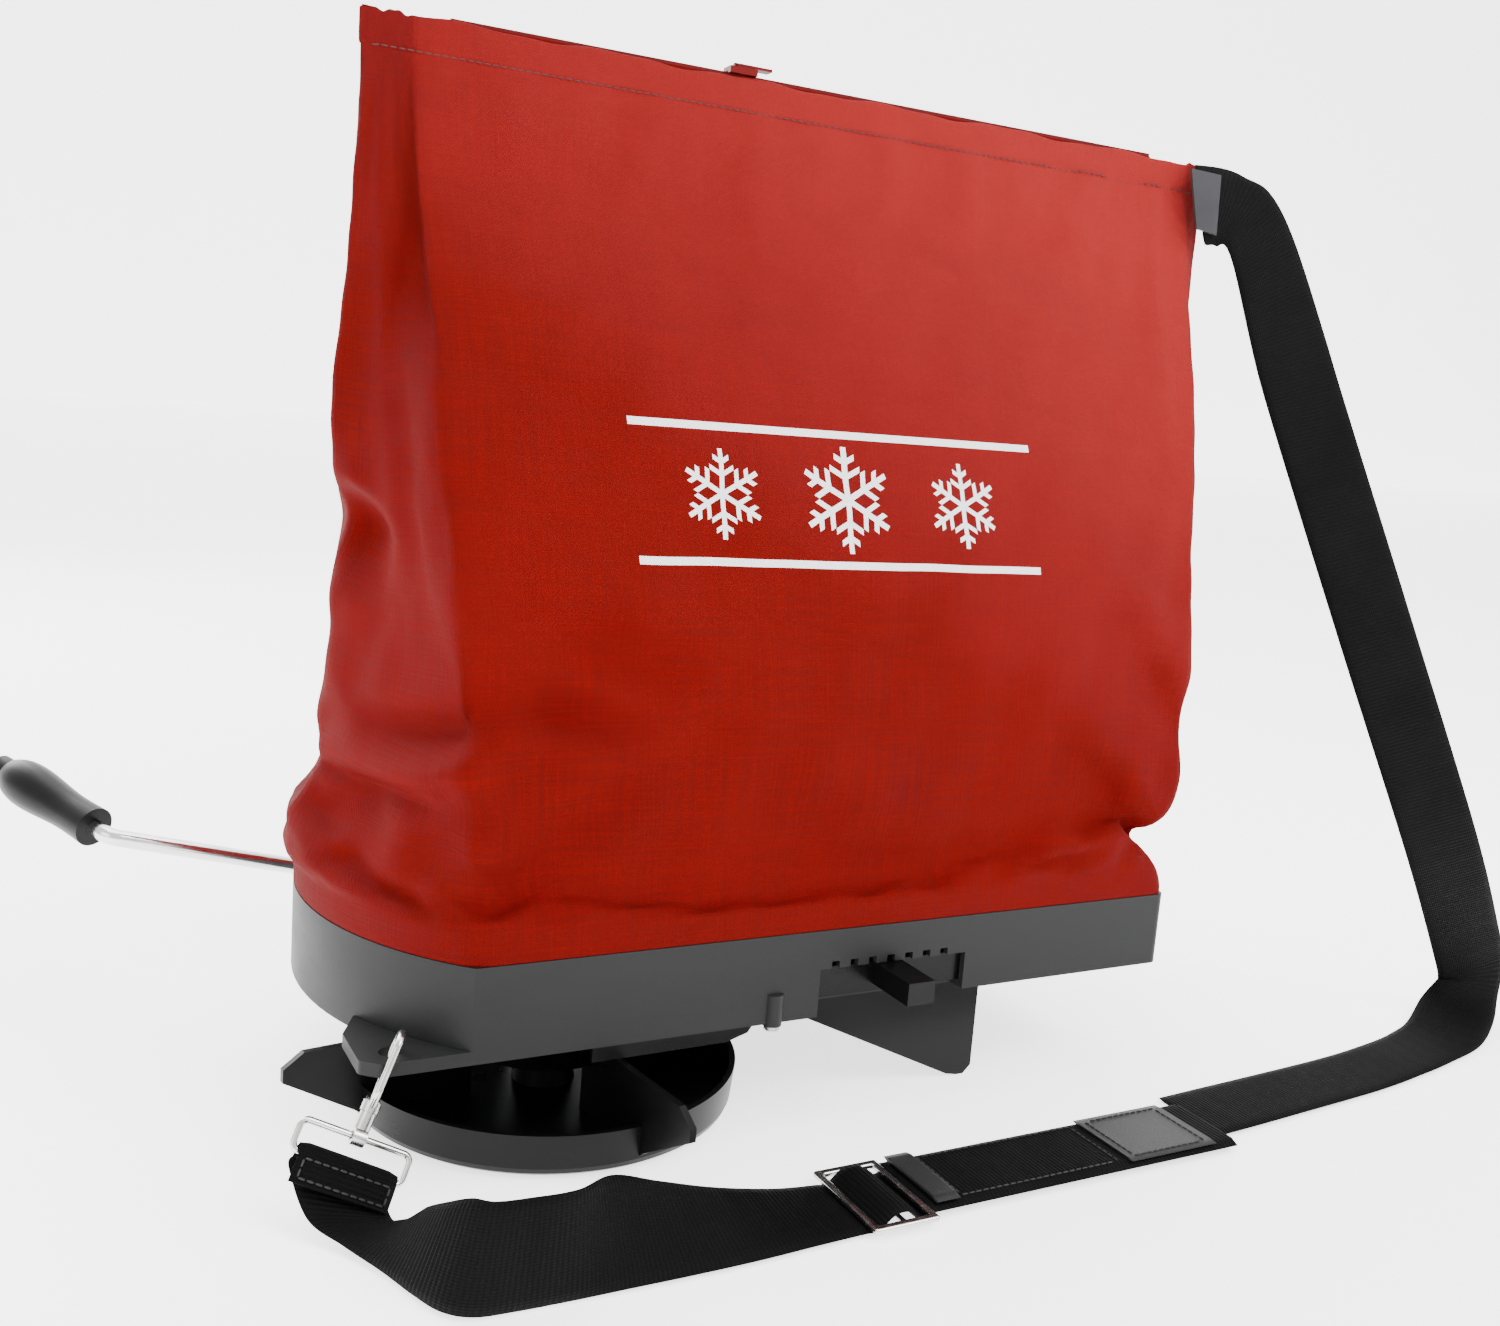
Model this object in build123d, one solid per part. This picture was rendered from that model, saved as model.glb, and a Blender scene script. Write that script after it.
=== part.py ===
"""Hand-cranked shoulder-bag salt spreader.

A fabric hopper bag stands on a moulded tray.  A crank under the tray turns a
crown gear, which drives the pinion of a vaned impeller.  A slide gate with a
finger grip meters the drop port, and a webbing strap runs from a snap hook on
the tray's ear to the bag's top corner.

Frame: millimetres, +Z up, origin at the centre of the impeller's flat foot.
+X runs along the tray away from the impeller, -Y is the printed front.
"""
from build123d import *
from math import atan2, cos, degrees, hypot, pi, radians, sin, sqrt
import os

os.makedirs("parts", exist_ok=True)

# ---------------------------------------------------------------- driving sizes
TRAY_LEFT, TRAY_SHOULDER, TRAY_RIGHT = -102.0, -57.0, 293.0
TRAY_NEAR, TRAY_FAR = -70.0, 135.0
FLOOR_LOW, FLOOR_THICK = 52.0, 3.0
TRAY_TOP, NECK_TOP = 87.0, 99.0
WALL, NECK_INSET = 3.2, 4.2
SKIRT_LOW, SKIRT_RIGHT = 48.0, 97.5          # deeper skirt under the left part

SLOT_LEFT, SLOT_RIGHT, SLOT_TOP = 97.5, 174.0, 69.5
NOTCH_PITCH, NOTCH_COUNT, NOTCH_WIDE, NOTCH_DEEP = 9.5, 7, 4.0, 3.2
FINGER_X = 133.5
PORT = (46.0, 76.0, -34.0, -6.0)             # drop port: x low, x high, y low, y high

EAR_HOLE, EAR_HOLE_R = (-86.0, -60.0), 4.5

FOOT_R, RIM_LOW_R, RIM_TOP_R, RIM_HIGH = 80.0, 84.0, 85.5, 19.0
VANE_ROOT, VANE_TIP, VANE_HIGH, VANE_THICK = 36.0, 118.5, 38.0, 3.0
VANE_ANGLES = [-172 + 90 * k for k in range(4)]
SHAFT_R = 3.0

CRANK_Z, ROD_R = 45.0, 4.0
ARM_Y, ARM_LONG, ARM_TILT = 143.0, 172.0, 13.7
GRIP_TURN, GRIP_RISE, GRIP_LONG = 32.0, 13.0, 74.0
CROWN_TEETH, PINION_TEETH = 24, 8
CROWN_IN, CROWN_OUT, CROWN_FACE, CROWN_BACK = 15.5, 21.0, 8.4, 13.0
TOOTH_TIP_Y = 5.0
PINION_ROOT, PINION_TIP, PINION_LOW, PINION_TOP = 4.3, 7.5, 22.5, 31.5

BAG_TOP_LEFT, BAG_TOP_RIGHT = (-86.0, 42.0, 437.0), (338.0, 10.0, 431.0)
BAG_THICK, SKIRT_HIGH, HEM_HIGH = 2.4, 101.0, 15.0
BAG_BELLY = 16.0

WEB_THICK = 1.8
CLEAR = 0.05                                 # running clearance on a radius


def save(node, part):
    """Write one node's solids."""
    export_step(part, f"parts/{node}.step")
    print(node, round(part.volume), "mm3")


def disc(x, y, low, high, radius):
    """Upright cylinder from low to high."""
    return Pos(x, y, (low + high) / 2) * Cylinder(radius, high - low)


def block(x0, x1, y0, y1, z0, z1):
    """Box between two corners."""
    return Pos((x0 + x1) / 2, (y0 + y1) / 2, (z0 + z1) / 2) * Box(x1 - x0, y1 - y0, z1 - z0)


def along_y(x, z, y0, y1, radius):
    """Cylinder along Y from y0 to y1."""
    return Pos(x, (y0 + y1) / 2, z) * Rot(90, 0, 0) * Cylinder(radius, y1 - y0)


# ------------------------------------------------------------------------ tray
HALF_DEPTH = (TRAY_FAR - TRAY_NEAR) / 2
MID_Y = (TRAY_FAR + TRAY_NEAR) / 2
SAG = TRAY_SHOULDER - TRAY_LEFT
END_R = (HALF_DEPTH**2 + SAG**2) / (2 * SAG)
END_X = TRAY_LEFT + END_R


def shoulder_x(inset):
    """Where the rounded end meets the straight walls, moved in by inset."""
    return END_X - sqrt((END_R - inset) ** 2 - (HALF_DEPTH - inset) ** 2)


def plan(z, inset=0.0, corner=5.0):
    """The tray's plan outline at height z, moved inwards by inset."""
    near, far, right = TRAY_NEAR + inset, TRAY_FAR - inset, TRAY_RIGHT - inset
    left = shoulder_x(inset)
    edges = [
        Line((left, near), (right, near)),
        Line((right, near), (right, far)),
        Line((right, far), (left, far)),
        ThreePointArc((left, far), (TRAY_LEFT + inset, MID_Y), (left, near)),
    ]
    face = make_face(edges)
    right_corners = face.vertices().sort_by(Axis.X)[-2:]
    return Pos(0, 0, z) * fillet(right_corners, max(corner - inset, 1.0))


def plan_solid(low, high, inset):
    return extrude(plan(low, inset), amount=high - low)


COVER_SCREWS = [(-20.0, -14.0), (20.0, -14.0), (-20.0, 22.0), (20.0, 22.0)]
HANGER_SCREWS = [(-14.5, 125.0), (14.5, 125.0)]
LEG_SCREWS = [(x, y) for y in (-44.0, 109.0) for x in (120.0, 175.0)]
BOSS_SCREW = (76.0, -68.5)


def ear():
    """Flat tab that squares off the near-left corner, with the snap hook's hole."""
    corners = [(-50, TRAY_NEAR), (-92, TRAY_NEAR), (-99, -64), (-99, -38), (-90, -20), (-50, -40)]
    tab = extrude(Pos(0, 0, SKIRT_LOW) * make_face(Polyline(*corners, close=True)), amount=5.5)
    rounded = tab.edges().filter_by(Axis.Z).sort_by(Axis.X)[0:4:2]
    tab = fillet(rounded, 3)
    return tab - disc(*EAR_HOLE, 40, 60, EAR_HOLE_R)


BEAD, BEAD_DEEP = (92.0, 96.0), 1.5          # groove round the neck for the bag's bead


def rim_bead():
    """Elastic cord that holds the bag's hem on the tray's neck."""
    return plan_solid(*BEAD, NECK_INSET - 0.8) - plan_solid(91, 97, NECK_INSET + BEAD_DEEP)


def tray():
    body = plan_solid(FLOOR_LOW, TRAY_TOP, 0) + plan_solid(TRAY_TOP, NECK_TOP, NECK_INSET)
    body -= plan_solid(FLOOR_LOW + FLOOR_THICK, TRAY_TOP - 3, WALL)
    body -= plan_solid(TRAY_TOP - 3, NECK_TOP + 1, NECK_INSET + WALL)
    body -= plan_solid(*BEAD, NECK_INSET - 1) - plan_solid(91, 97, NECK_INSET + BEAD_DEEP)
    skirt = plan_solid(SKIRT_LOW, FLOOR_LOW, 0) - plan_solid(SKIRT_LOW - 1, FLOOR_LOW + 1, WALL)
    skirt &= block(-200, SKIRT_RIGHT, -200, 200, 0, 100)
    body += skirt
    body += ear() - plan_solid(0, 200, WALL)
    # inner rib that keeps the load out of the gate's channel
    body += block(36, 214, -60, -57.6, 55, 84) - block(44, 212, -61, -57, 54, 58.4)
    body += block(34, 36, TRAY_NEAR + 1, -57.6, 55, 84) + block(214, 216, TRAY_NEAR + 1, -57.6, 55, 84)
    # gate window in the near wall, open at the bottom, with its row of notches
    body -= block(SLOT_LEFT, SLOT_RIGHT, TRAY_NEAR - 1, TRAY_NEAR + WALL + 0.2, 40, SLOT_TOP)
    body -= block(SLOT_LEFT, SLOT_RIGHT, TRAY_NEAR - 1, TRAY_NEAR + 9, 40, FLOOR_LOW + 4)
    for k in range(NOTCH_COUNT):
        x = FINGER_X + (k - NOTCH_COUNT // 2) * NOTCH_PITCH
        body -= block(x - NOTCH_WIDE / 2, x + NOTCH_WIDE / 2, TRAY_NEAR - 1, TRAY_NEAR + WALL + 0.2,
                      SLOT_TOP - 1, SLOT_TOP + NOTCH_DEEP)
    # screw boss on the outside of the near wall
    body += disc(BOSS_SCREW[0], BOSS_SCREW[1], SKIRT_LOW - 1, 61, 4.2) - plan_solid(54, 90, WALL)
    body -= disc(*BOSS_SCREW, 40, 57, 1.8)
    # openings in the floor: drop port, crown gear, impeller shaft and screws
    body -= block(*PORT, 50, 56)
    body -= block(-22.5, 22.5, 7.7, 15, 50, 56)
    body -= block(-22.5, -10, 3.6, 8, 50, 56) + block(10, 22.5, 3.6, 8, 50, 56)
    body += disc(0, 0, 49, FLOOR_LOW + 1, 6.6)
    body -= disc(0, 0, 40, 60, 5.0)
    body -= block(-7, 7, TRAY_FAR - WALL - 1, TRAY_FAR + 1, 40, FLOOR_LOW - 0.5)      # crank's way out
    for x, y in COVER_SCREWS + HANGER_SCREWS + LEG_SCREWS:
        body -= disc(x, y, 50, 56, 1.8)
    return body


def screw(x, y, head_z, tip_z, radius=1.75, head_r=3.4, head_high=2.0):
    """Pan-head screw whose head lies on head_z, pointing to tip_z."""
    way = 1 if head_z > tip_z else -1
    low, high = sorted((head_z, tip_z))
    shank = disc(x, y, low, high, radius)
    head = disc(x, y, *sorted((head_z, head_z + way * head_high)), head_r)
    top = head_z + way * head_high
    slot = block(x - 4, x + 4, y - 0.5, y + 0.5, *sorted((top, top - way * 0.8)))
    return shank + head - slot


# ---------------------------------------------------------- gearbox and bearings
def gear_cover():
    """Half-round cover over the crown gear, inside the tray."""
    low = FLOOR_LOW + FLOOR_THICK
    outer = along_y(0, CRANK_Z, -10, 18, 27) & block(-30, 30, -12, 20, low, 90)
    outer += block(-25, 25, -19, 27, low, low + 2.4)
    inner = along_y(0, CRANK_Z, -7.6, 15.6, 24.6) & block(-30, 30, -12, 20, 0, 90)
    cover = outer - inner
    cover -= disc(0, 0, 60, 80, SHAFT_R + CLEAR)
    for x, y in COVER_SCREWS:
        cover -= disc(x, y, 50, 60, 1.8)
    return cover


def gear_shroud():
    """Round skirt under the tray with the crank's front bearing."""
    ring = disc(0, 0, 22, FLOOR_LOW, 33) - disc(0, 0, 21, FLOOR_LOW + 1, 30)
    bearing = block(-9, 9, 17, 31, 37, FLOOR_LOW)
    pads = Part()
    for x, y in COVER_SCREWS:
        pads += disc(x, y, FLOOR_LOW - 5, FLOOR_LOW, 6.5)
    pads = pads - block(-22.6, 22.6, 3, 16.5, 40, 53)
    body = ring + bearing + pads
    body -= along_y(0, CRANK_Z, 16, 40, 6.5)
    for x, y in COVER_SCREWS:
        body -= disc(x, y, 40, 53, 1.8)
    return body


HANGER_Y = (121.0, 129.0)


def rear_hanger():
    body = block(-20, 20, *HANGER_Y, 47.5, FLOOR_LOW) + block(-9, 9, *HANGER_Y, 36, FLOOR_LOW)
    body -= along_y(0, CRANK_Z, 120, 132, 6.5)
    for x, y in HANGER_SCREWS:
        body -= disc(x, y, 40, 53, 1.8)
    return body


def impeller_bush():
    """Flanged bush pushed up into the floor boss."""
    body = disc(0, 0, 49, 56, 5.0) + disc(0, 0, 47.6, 49, 7.5)
    return body - disc(0, 0, 40, 60, SHAFT_R + CLEAR)


def crank_bush(y0, y1):
    return along_y(0, CRANK_Z, y0, y1, 6.5) - along_y(0, CRANK_Z, y0 - 1, y1 + 1, ROD_R + CLEAR)


# ------------------------------------------------------------------------- gears
HUB_R, PIN_Y, ROD_START = 6.5, 14.8, 9.5


def crown_gear():
    body = along_y(0, CRANK_Z, CROWN_FACE, CROWN_BACK, CROWN_OUT)
    body += along_y(0, CRANK_Z, CROWN_BACK, 16.5, HUB_R)
    half_tip, half_root = 1.1, 2.0          # half widths of a tooth, in degrees
    for k in range(CROWN_TEETH):
        turn = (k + 0.5) * 360 / CROWN_TEETH
        sections = []
        for y, half in ((CROWN_FACE + 0.2, half_root), (TOOTH_TIP_Y, half_tip)):
            corners = []
            for radius, side in ((CROWN_IN, -1), (CROWN_OUT, -1), (CROWN_OUT, 1), (CROWN_IN, 1)):
                angle = radians(-90 + turn + side * half * 18 / radius)
                corners.append((radius * cos(angle), y, CRANK_Z + radius * sin(angle)))
            sections.append(make_face(Polyline(*corners, close=True)))
        body += loft(sections)
    body -= along_y(0, CRANK_Z, ROD_START, 20, ROD_R)
    return body - crank_pin(30)


def crank_pin(length=2 * HUB_R):
    """Cross pin that locks the crown gear to the rod."""
    return Pos(0, PIN_Y, CRANK_Z) * Cylinder(1.0, length)


def pinion():
    body = disc(0, 0, PINION_LOW, PINION_TOP, PINION_ROOT)
    half_tip, half_root = 4.5, 9.0         # half widths of a tooth, in degrees
    for k in range(PINION_TEETH):
        corners = []
        for radius, half in ((PINION_ROOT - 0.4, -half_root), (PINION_TIP, -half_tip),
                             (PINION_TIP, half_tip), (PINION_ROOT - 0.4, half_root)):
            angle = radians(90 + k * 360 / PINION_TEETH + half)
            corners.append((radius * cos(angle), radius * sin(angle)))
        face = Pos(0, 0, PINION_LOW) * make_face(Polyline(*corners, close=True))
        body += extrude(face, amount=PINION_TOP - PINION_LOW)
    return body - disc(0, 0, 0, 60, SHAFT_R)


# ---------------------------------------------------------------------- impeller
SHAFT_TOP, CLIP = 82.0, (56.4, 57.4)


def impeller():
    profile = Polyline((0, 0), (FOOT_R, 0), (RIM_LOW_R - 0.8, 2.2), (RIM_LOW_R + 0.2, 4.5),
                       (RIM_TOP_R, RIM_HIGH), (RIM_TOP_R - 2.6, RIM_HIGH), (RIM_LOW_R - 3.2, 6.5),
                       (14, 5.5), (11, 20), (0, 20), close=True)
    body = revolve(Plane.XZ * make_face(profile), Axis.Z, 360)
    vane = [(VANE_ROOT, 4), (VANE_ROOT, 31), (43, VANE_HIGH), (110, VANE_HIGH), (VANE_TIP, 32),
            (VANE_TIP, 26.5), (88, 8.5), (82, 4)]
    blade = Pos(0, VANE_THICK / 2, 0) * extrude(Plane.XZ * make_face(Polyline(*vane, close=True)),
                                                amount=VANE_THICK)
    for angle in VANE_ANGLES:
        body += Rot(0, 0, angle) * blade
    return body - disc(0, 0, 3, 30, SHAFT_R) - hub_pin()


def hub_pin():
    """Cross pin through the impeller's hub and shaft."""
    return Pos(0, 0, 14) * Rot(0, 90, 0) * Cylinder(1.0, 22)


def impeller_shaft():
    shaft = disc(0, 0, 3, SHAFT_TOP, SHAFT_R) - hub_pin()
    groove = disc(0, 0, *CLIP, SHAFT_R + 1) - disc(0, 0, *CLIP, SHAFT_R - 0.6)
    return shaft - groove


def shaft_clip():
    """Retaining ring above the floor bush."""
    ring = disc(0, 0, *CLIP, 5.2) - disc(0, 0, *CLIP, SHAFT_R - 0.6)
    return ring - block(2, 6, -1.6, 1.6, 50, 60)


def agitator():
    """Flat strip through the top of the impeller shaft, with turned-up ends."""
    strip = block(-22, 22, -1.6, 1.6, 77, 79.4)
    for side in (-1, 1):
        strip += Pos(side * 20.8, 0, 83) * Box(2.4, 3.2, 10)
    return strip - disc(0, 0, 60, 90, SHAFT_R)


# ------------------------------------------------------------------------- crank
ARM = Vector(-cos(radians(ARM_TILT)), 0, sin(radians(ARM_TILT)))
ELBOW = Vector(0, ARM_Y, CRANK_Z) + ARM * ARM_LONG
GRIP_WAY = Vector(-sin(radians(GRIP_TURN)) * cos(radians(GRIP_RISE)),
                  cos(radians(GRIP_TURN)) * cos(radians(GRIP_RISE)), sin(radians(GRIP_RISE)))
GRIP_START = ELBOW + GRIP_WAY * 11


def crank_rod():
    path = FilletPolyline((0, ROD_START, CRANK_Z), (0, ARM_Y, CRANK_Z), tuple(ELBOW),
                          tuple(ELBOW + GRIP_WAY * 80), radius=[10, 9])
    start = Plane(origin=(0, ROD_START, CRANK_Z), z_dir=(0, 1, 0))
    return sweep(start * Circle(ROD_R), path=path) - crank_pin(30)


def crank_collar():
    """Push-on collar behind the rear bearing."""
    return along_y(0, CRANK_Z, 129.3, 131.4, 6.2) - along_y(0, CRANK_Z, 129, 132, ROD_R)


def grip_plane(distance=0.0):
    return Plane(origin=tuple(GRIP_START + GRIP_WAY * distance), z_dir=tuple(GRIP_WAY))


def grip():
    """Waisted hand grip that spins on the end of the rod."""
    bore = ROD_R + CLEAR
    flank = Spline((9.6, 0), (9.3, 8), (9.2, 18), (10.8, 38), (11.2, 50), (9.4, 60), (8.0, 63))
    outline = flank + Line((8.0, 63), (bore, 63)) + Line((bore, 63), (bore, 0)) + Line((bore, 0), (9.6, 0))
    solid = revolve(Plane.XZ * make_face(outline.edges()), Axis.Z, 360)
    return grip_plane() * solid


def grip_cap():
    """Small round cap on the grip's far end."""
    cap = Pos(0, 0, 68.5) * Cylinder(6.2, 11)
    cap = fillet(cap.edges().sort_by(Axis.Z)[-1:], 2)
    cap -= Pos(0, 0, 65) * Cylinder(ROD_R + CLEAR, 12)
    return grip_plane() * cap


# -------------------------------------------------------------------------- gate
def gate_slide():
    body = block(61, 150, -60 + 3, -5, 55.3, 57.9) + block(92, 175, -66.4, -56.8, 55.3, 57.9)
    body += block(92, 175, -66.4, -63.8, 55.3, 68.9)
    body += block(FINGER_X - 6.8, FINGER_X + 6.8, -95, -64, 59, 69.1)
    body -= block(FINGER_X - 4.6, FINGER_X + 4.6, -92.5, -67.5, 58, 66.5)
    return body


def gate_rail():
    """Guide rail on the tray floor whose lip overhangs the gate's far edge."""
    return block(32, 180, -4.6, -1, 55, 58.4) + block(32, 180, -8, -1, 58.4, 60.4)


# -------------------------------------------------------------------------- legs
def front_deflector():
    """Sloped black guard below the near wall, beside the impeller."""
    outline = [(-5, FLOOR_LOW), (-5, 40), (56, 40.5), (66, 43.5), (72, FLOOR_LOW)]
    return Pos(0, -63.5, 0) * extrude(Plane.XZ * make_face(Polyline(*outline, close=True)), amount=2.5)


def leg(y, flange):
    """Black foot plate under the tray, with a screwed flange along its top."""
    tip = (94, 44)
    outline = [(84, FLOOR_LOW), tip, (184, 1.2), (190, 0), (194, 0), (198, 4), (198, FLOOR_LOW)]
    plate = extrude(Plane.XZ * make_face(Polyline(*outline, close=True)), amount=3.4)
    plate = Pos(0, y + 1.7, 0) * plate
    low, high = sorted((y, y + flange))
    plate += block(108, 190, low, high, FLOOR_LOW - 3, FLOOR_LOW)
    for x, sy in LEG_SCREWS:
        plate -= disc(x, sy, 40, 60, 1.8)
    return plate


# --------------------------------------------------------------------------- bag
def outline_points(inset):
    """Half the tray's outline, from the middle of the round end to the middle of the flat end."""
    radius, half = END_R - inset, HALF_DEPTH - inset
    sweep_angle = atan2(half, END_X - shoulder_x(inset))
    points = []
    for k in range(5):
        turn = sweep_angle * k / 5
        points.append((END_X - radius * cos(turn), radius * sin(turn), radius * turn))
    run = radius * sweep_angle
    left, right = shoulder_x(inset), TRAY_RIGHT - inset
    for k in range(10):
        x = left + (right - left) * k / 10
        points.append((x, half, run + x - left))
    run += right - left
    for k in range(4):
        points.append((right, half * (1 - k / 4), run + half * k / 4))
    points.append((right, 0, run + half))
    total = run + half
    return [(x, y, along / total) for x, y, along in points]


def ease(value, low, high):
    """0 below low, 1 above high, and a smooth rise between."""
    t = min(max((value - low) / (high - low), 0.0), 1.0)
    return t * t * (3 - 2 * t)


def top_share(share):
    """Where a point of the skirt ends on the top line: the ends gather in, the front stays wide."""
    knots = [(0.0, 0.0), (0.203, 0.05), (0.82, 0.965), (1.0, 1.0)]
    for (s0, t0), (s1, t1) in zip(knots, knots[1:]):
        if share <= s1:
            return t0 + (t1 - t0) * (share - s0) / (s1 - s0)
    return 1.0


def bag_ring(lift, inset, z_low):
    """Closed ring of points round the bag; lift runs from 0 at the skirt to 1 at the hem."""
    half = outline_points(inset)
    ring = [(-1, point) for point in half] + [(1, point) for point in half[-2:0:-1]]
    close = lift**1.25
    bulge = BAG_BELLY * sin(pi * min(lift * 1.15, 1.0))
    points = []
    for side, (x0, y0, share) in ring:
        top = top_share(share)
        thickness = (4.4 - inset) * min(1.0, 16 * share, 16 * (1 - share))
        x1 = BAG_TOP_LEFT[0] + inset + (BAG_TOP_RIGHT[0] - BAG_TOP_LEFT[0] - 2 * inset) * top
        y1 = BAG_TOP_LEFT[1] + (BAG_TOP_RIGHT[1] - BAG_TOP_LEFT[1]) * top + side * thickness
        z1 = BAG_TOP_LEFT[2] + (BAG_TOP_RIGHT[2] - BAG_TOP_LEFT[2]) * top
        rightness = ease(share, 0.3, 0.7)
        gather = ease(lift, 0, 0.3) * (1 - rightness) + min(lift / 0.7, 1.0) * rightness
        belly = side * bulge * min(1.0, 3 * share, 3 * (1 - share))
        y0 = MID_Y + side * y0
        x, y = x0 + (x1 - x0) * gather, y0 + (y1 - y0) * close + belly
        points.append(Vector(x, y, z_low + (z1 - z_low) * lift))
    return points


def skin(triangles):
    """Closed solid bounded by flat triangles."""
    faces = []
    for a, b, c in triangles:
        if (b - a).cross(c - a).length > 1e-6:
            faces.append(Face(Wire.make_polygon([a, b, c], close=True)))
    return Solid(Shell(faces))


def bag_wall(inset):
    """Rings of one face of the bag's fabric, from the skirt's edge to the top."""
    rings = [bag_ring(0, inset, TRAY_TOP)]
    rings += [bag_ring(lift, inset, SKIRT_HIGH) for lift in (0, 0.18, 0.38, 0.6, 0.8, 1.0)]
    rings.append([point + Vector(0, 0, HEM_HIGH) for point in rings[-1]])
    return rings


def bag_shell():
    """Fabric bag, open at the bottom round the tray's neck and zipped at the top."""
    outer, inner = bag_wall(0.0), bag_wall(BAG_THICK)
    count = len(outer[0])
    triangles = []
    for j in range(count):
        k = (j + 1) % count
        for i in range(len(outer) - 1):
            a, b, c, d = outer[i][j], outer[i][k], outer[i + 1][k], outer[i + 1][j]
            triangles += [(a, b, c), (a, c, d)]
            a, b, c, d = inner[i][j], inner[i][k], inner[i + 1][k], inner[i + 1][j]
            triangles += [(a, c, b), (a, d, c)]
        for i, way in ((0, 1), (-1, -1)):
            a, b, c, d = outer[i][j], inner[i][j], inner[i][k], outer[i][k]
            triangles += [(a, b, c)[::way], (a, c, d)[::way]]
    return skin(triangles)


TOP_WAY = (Vector(*BAG_TOP_RIGHT) - Vector(*BAG_TOP_LEFT)).normalized()
TOP_SIDE = Vector(TOP_WAY.Y, -TOP_WAY.X, 0).normalized()      # towards the front
TOP_LONG = (Vector(*BAG_TOP_RIGHT) - Vector(*BAG_TOP_LEFT)).length


def top_block(along, low, high, off, thick):
    """Box on the bag's top line: along it, above it, and across it towards the front."""
    start, stop = along
    corner = Vector(*BAG_TOP_LEFT) + Vector(0, 0, HEM_HIGH) + TOP_SIDE * (off - thick / 2)
    points = [corner + TOP_WAY * a + Vector(0, 0, z)
              for a, z in ((start, low), (stop, low), (stop, high), (start, high))]
    return extrude(Face(Wire.make_polygon(points, close=True)), amount=thick, dir=TOP_SIDE)


ZIP_RUN = (36.0, TOP_LONG - 36.0)
SLIDER_AT = 165.0


def zip_teeth():
    return top_block(ZIP_RUN, -2.4, 1.0, 0, 1.6)


def zip_tape(side):
    """One of the two tapes that carry the teeth."""
    return top_block(ZIP_RUN, -12, -0.6, side * 1.25, 0.8)


def zip_slider():
    span = (SLIDER_AT - 6.5, SLIDER_AT + 6.5)
    body = top_block(span, 0.6, 3.4, 0, 8.4) - top_block((0, 400), 0, 1.6, 0, 2.4)
    return body + top_block((SLIDER_AT - 3.4, SLIDER_AT + 1.4), 3.4, 5.4, 0, 2) - pull_bore()


def pull_bore(radius=0.6, length=12):
    spot = Vector(*BAG_TOP_LEFT) + Vector(0, 0, HEM_HIGH + 4.4) + TOP_WAY * (SLIDER_AT - 1)
    return Plane(origin=tuple(spot), z_dir=tuple(TOP_SIDE)) * Cylinder(radius, length)


def zip_pull():
    """Pull tab, with a pin through the slider's lug."""
    cheeks = top_block((SLIDER_AT - 2.4, SLIDER_AT + 14), 3.8, 5.0, 0, 5.6)
    cheeks -= top_block((SLIDER_AT - 5, SLIDER_AT + 2.6), 3, 8, 0, 2.6)
    return cheeks + pull_bore(0.55, 5.4)


# ------------------------------------------------------------------------- strap
def ribbon(pairs, thick=WEB_THICK):
    """Webbing along pairs of edge points: one closed solid of flat triangles."""
    front = [Vector(*a) for a, b in pairs]
    back = [Vector(*b) for a, b in pairs]
    normals = []
    for i in range(len(pairs)):
        j, k = max(i - 1, 0), min(i + 1, len(pairs) - 1)
        along = (front[k] + back[k]) - (front[j] + back[j])
        normals.append(along.cross(back[i] - front[i]).normalized() * (thick / 2))
    upper = [[front[i] + normals[i], back[i] + normals[i]] for i in range(len(pairs))]
    lower = [[front[i] - normals[i], back[i] - normals[i]] for i in range(len(pairs))]
    return sheet_solid(upper, lower)


STRAP_FRONT = [
    ((-121, -82, 19), (-86, -83, 5)), ((-119, -89, 9), (-82, -93, 4)),
    ((-112, -103, 3), (-82, -112, 22)), ((-103, -122, 1.5), (-86, -126, 33)),
    ((-97, -138, 1.2), (-86, -140, 37)), ((-91, -151, 1.2), (-81, -149, 39)),
    ((-82, -158, 1.2), (-75, -154.5, 39.5)), ((-68, -160, 1.2), (-64, -157, 40)),
    ((-48, -161, 1.2), (-47, -157.5, 40)), ((-26, -161.5, 1.2), (-25, -137, 31)),
    ((-2, -162, 1.2), (-2, -128.5, 20)), ((24, -162, 1.2), (23, -125, 11)),
    ((50, -161, 1.2), (50, -122.5, 4)), ((70, -160.5, 1.2), (70, -121.5, 1.2)),
    ((76.2, -160.5, 1.2), (76.2, -121.5, 1.2)), ((83.5, -160.5, 6.3), (83.5, -121.5, 6.3)),
    ((90.5, -160.5, 6.3), (90.5, -121.5, 6.3)), ((97, -160.5, 1.2), (97, -121.5, 1.2)),
    ((101.5, -160.5, 1.2), (101.5, -121.5, 1.2)),
]
STRAP_SIDE = [
    ((267, -147, 1.2), (267, -107, 1.2)), ((320, -143, 1.2), (322, -104, 1.2)),
    ((382, -138, 1.2), (387, -99.5, 1.2)), ((422, -132, 1.2), (429, -93.5, 1.2)),
]
RISER_LOW = [
    ((422.4, -131.9, 1.2), (429.4, -93.4, 1.2)), ((448, -127, 1.2), (452, -88, 1.2)),
    ((484, -118, 1.4), (474, -80, 1.4)), ((518, -101, 3), (494, -72, 10)),
    ((538, -88, 12), (502, -74, 20)),
]
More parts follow.
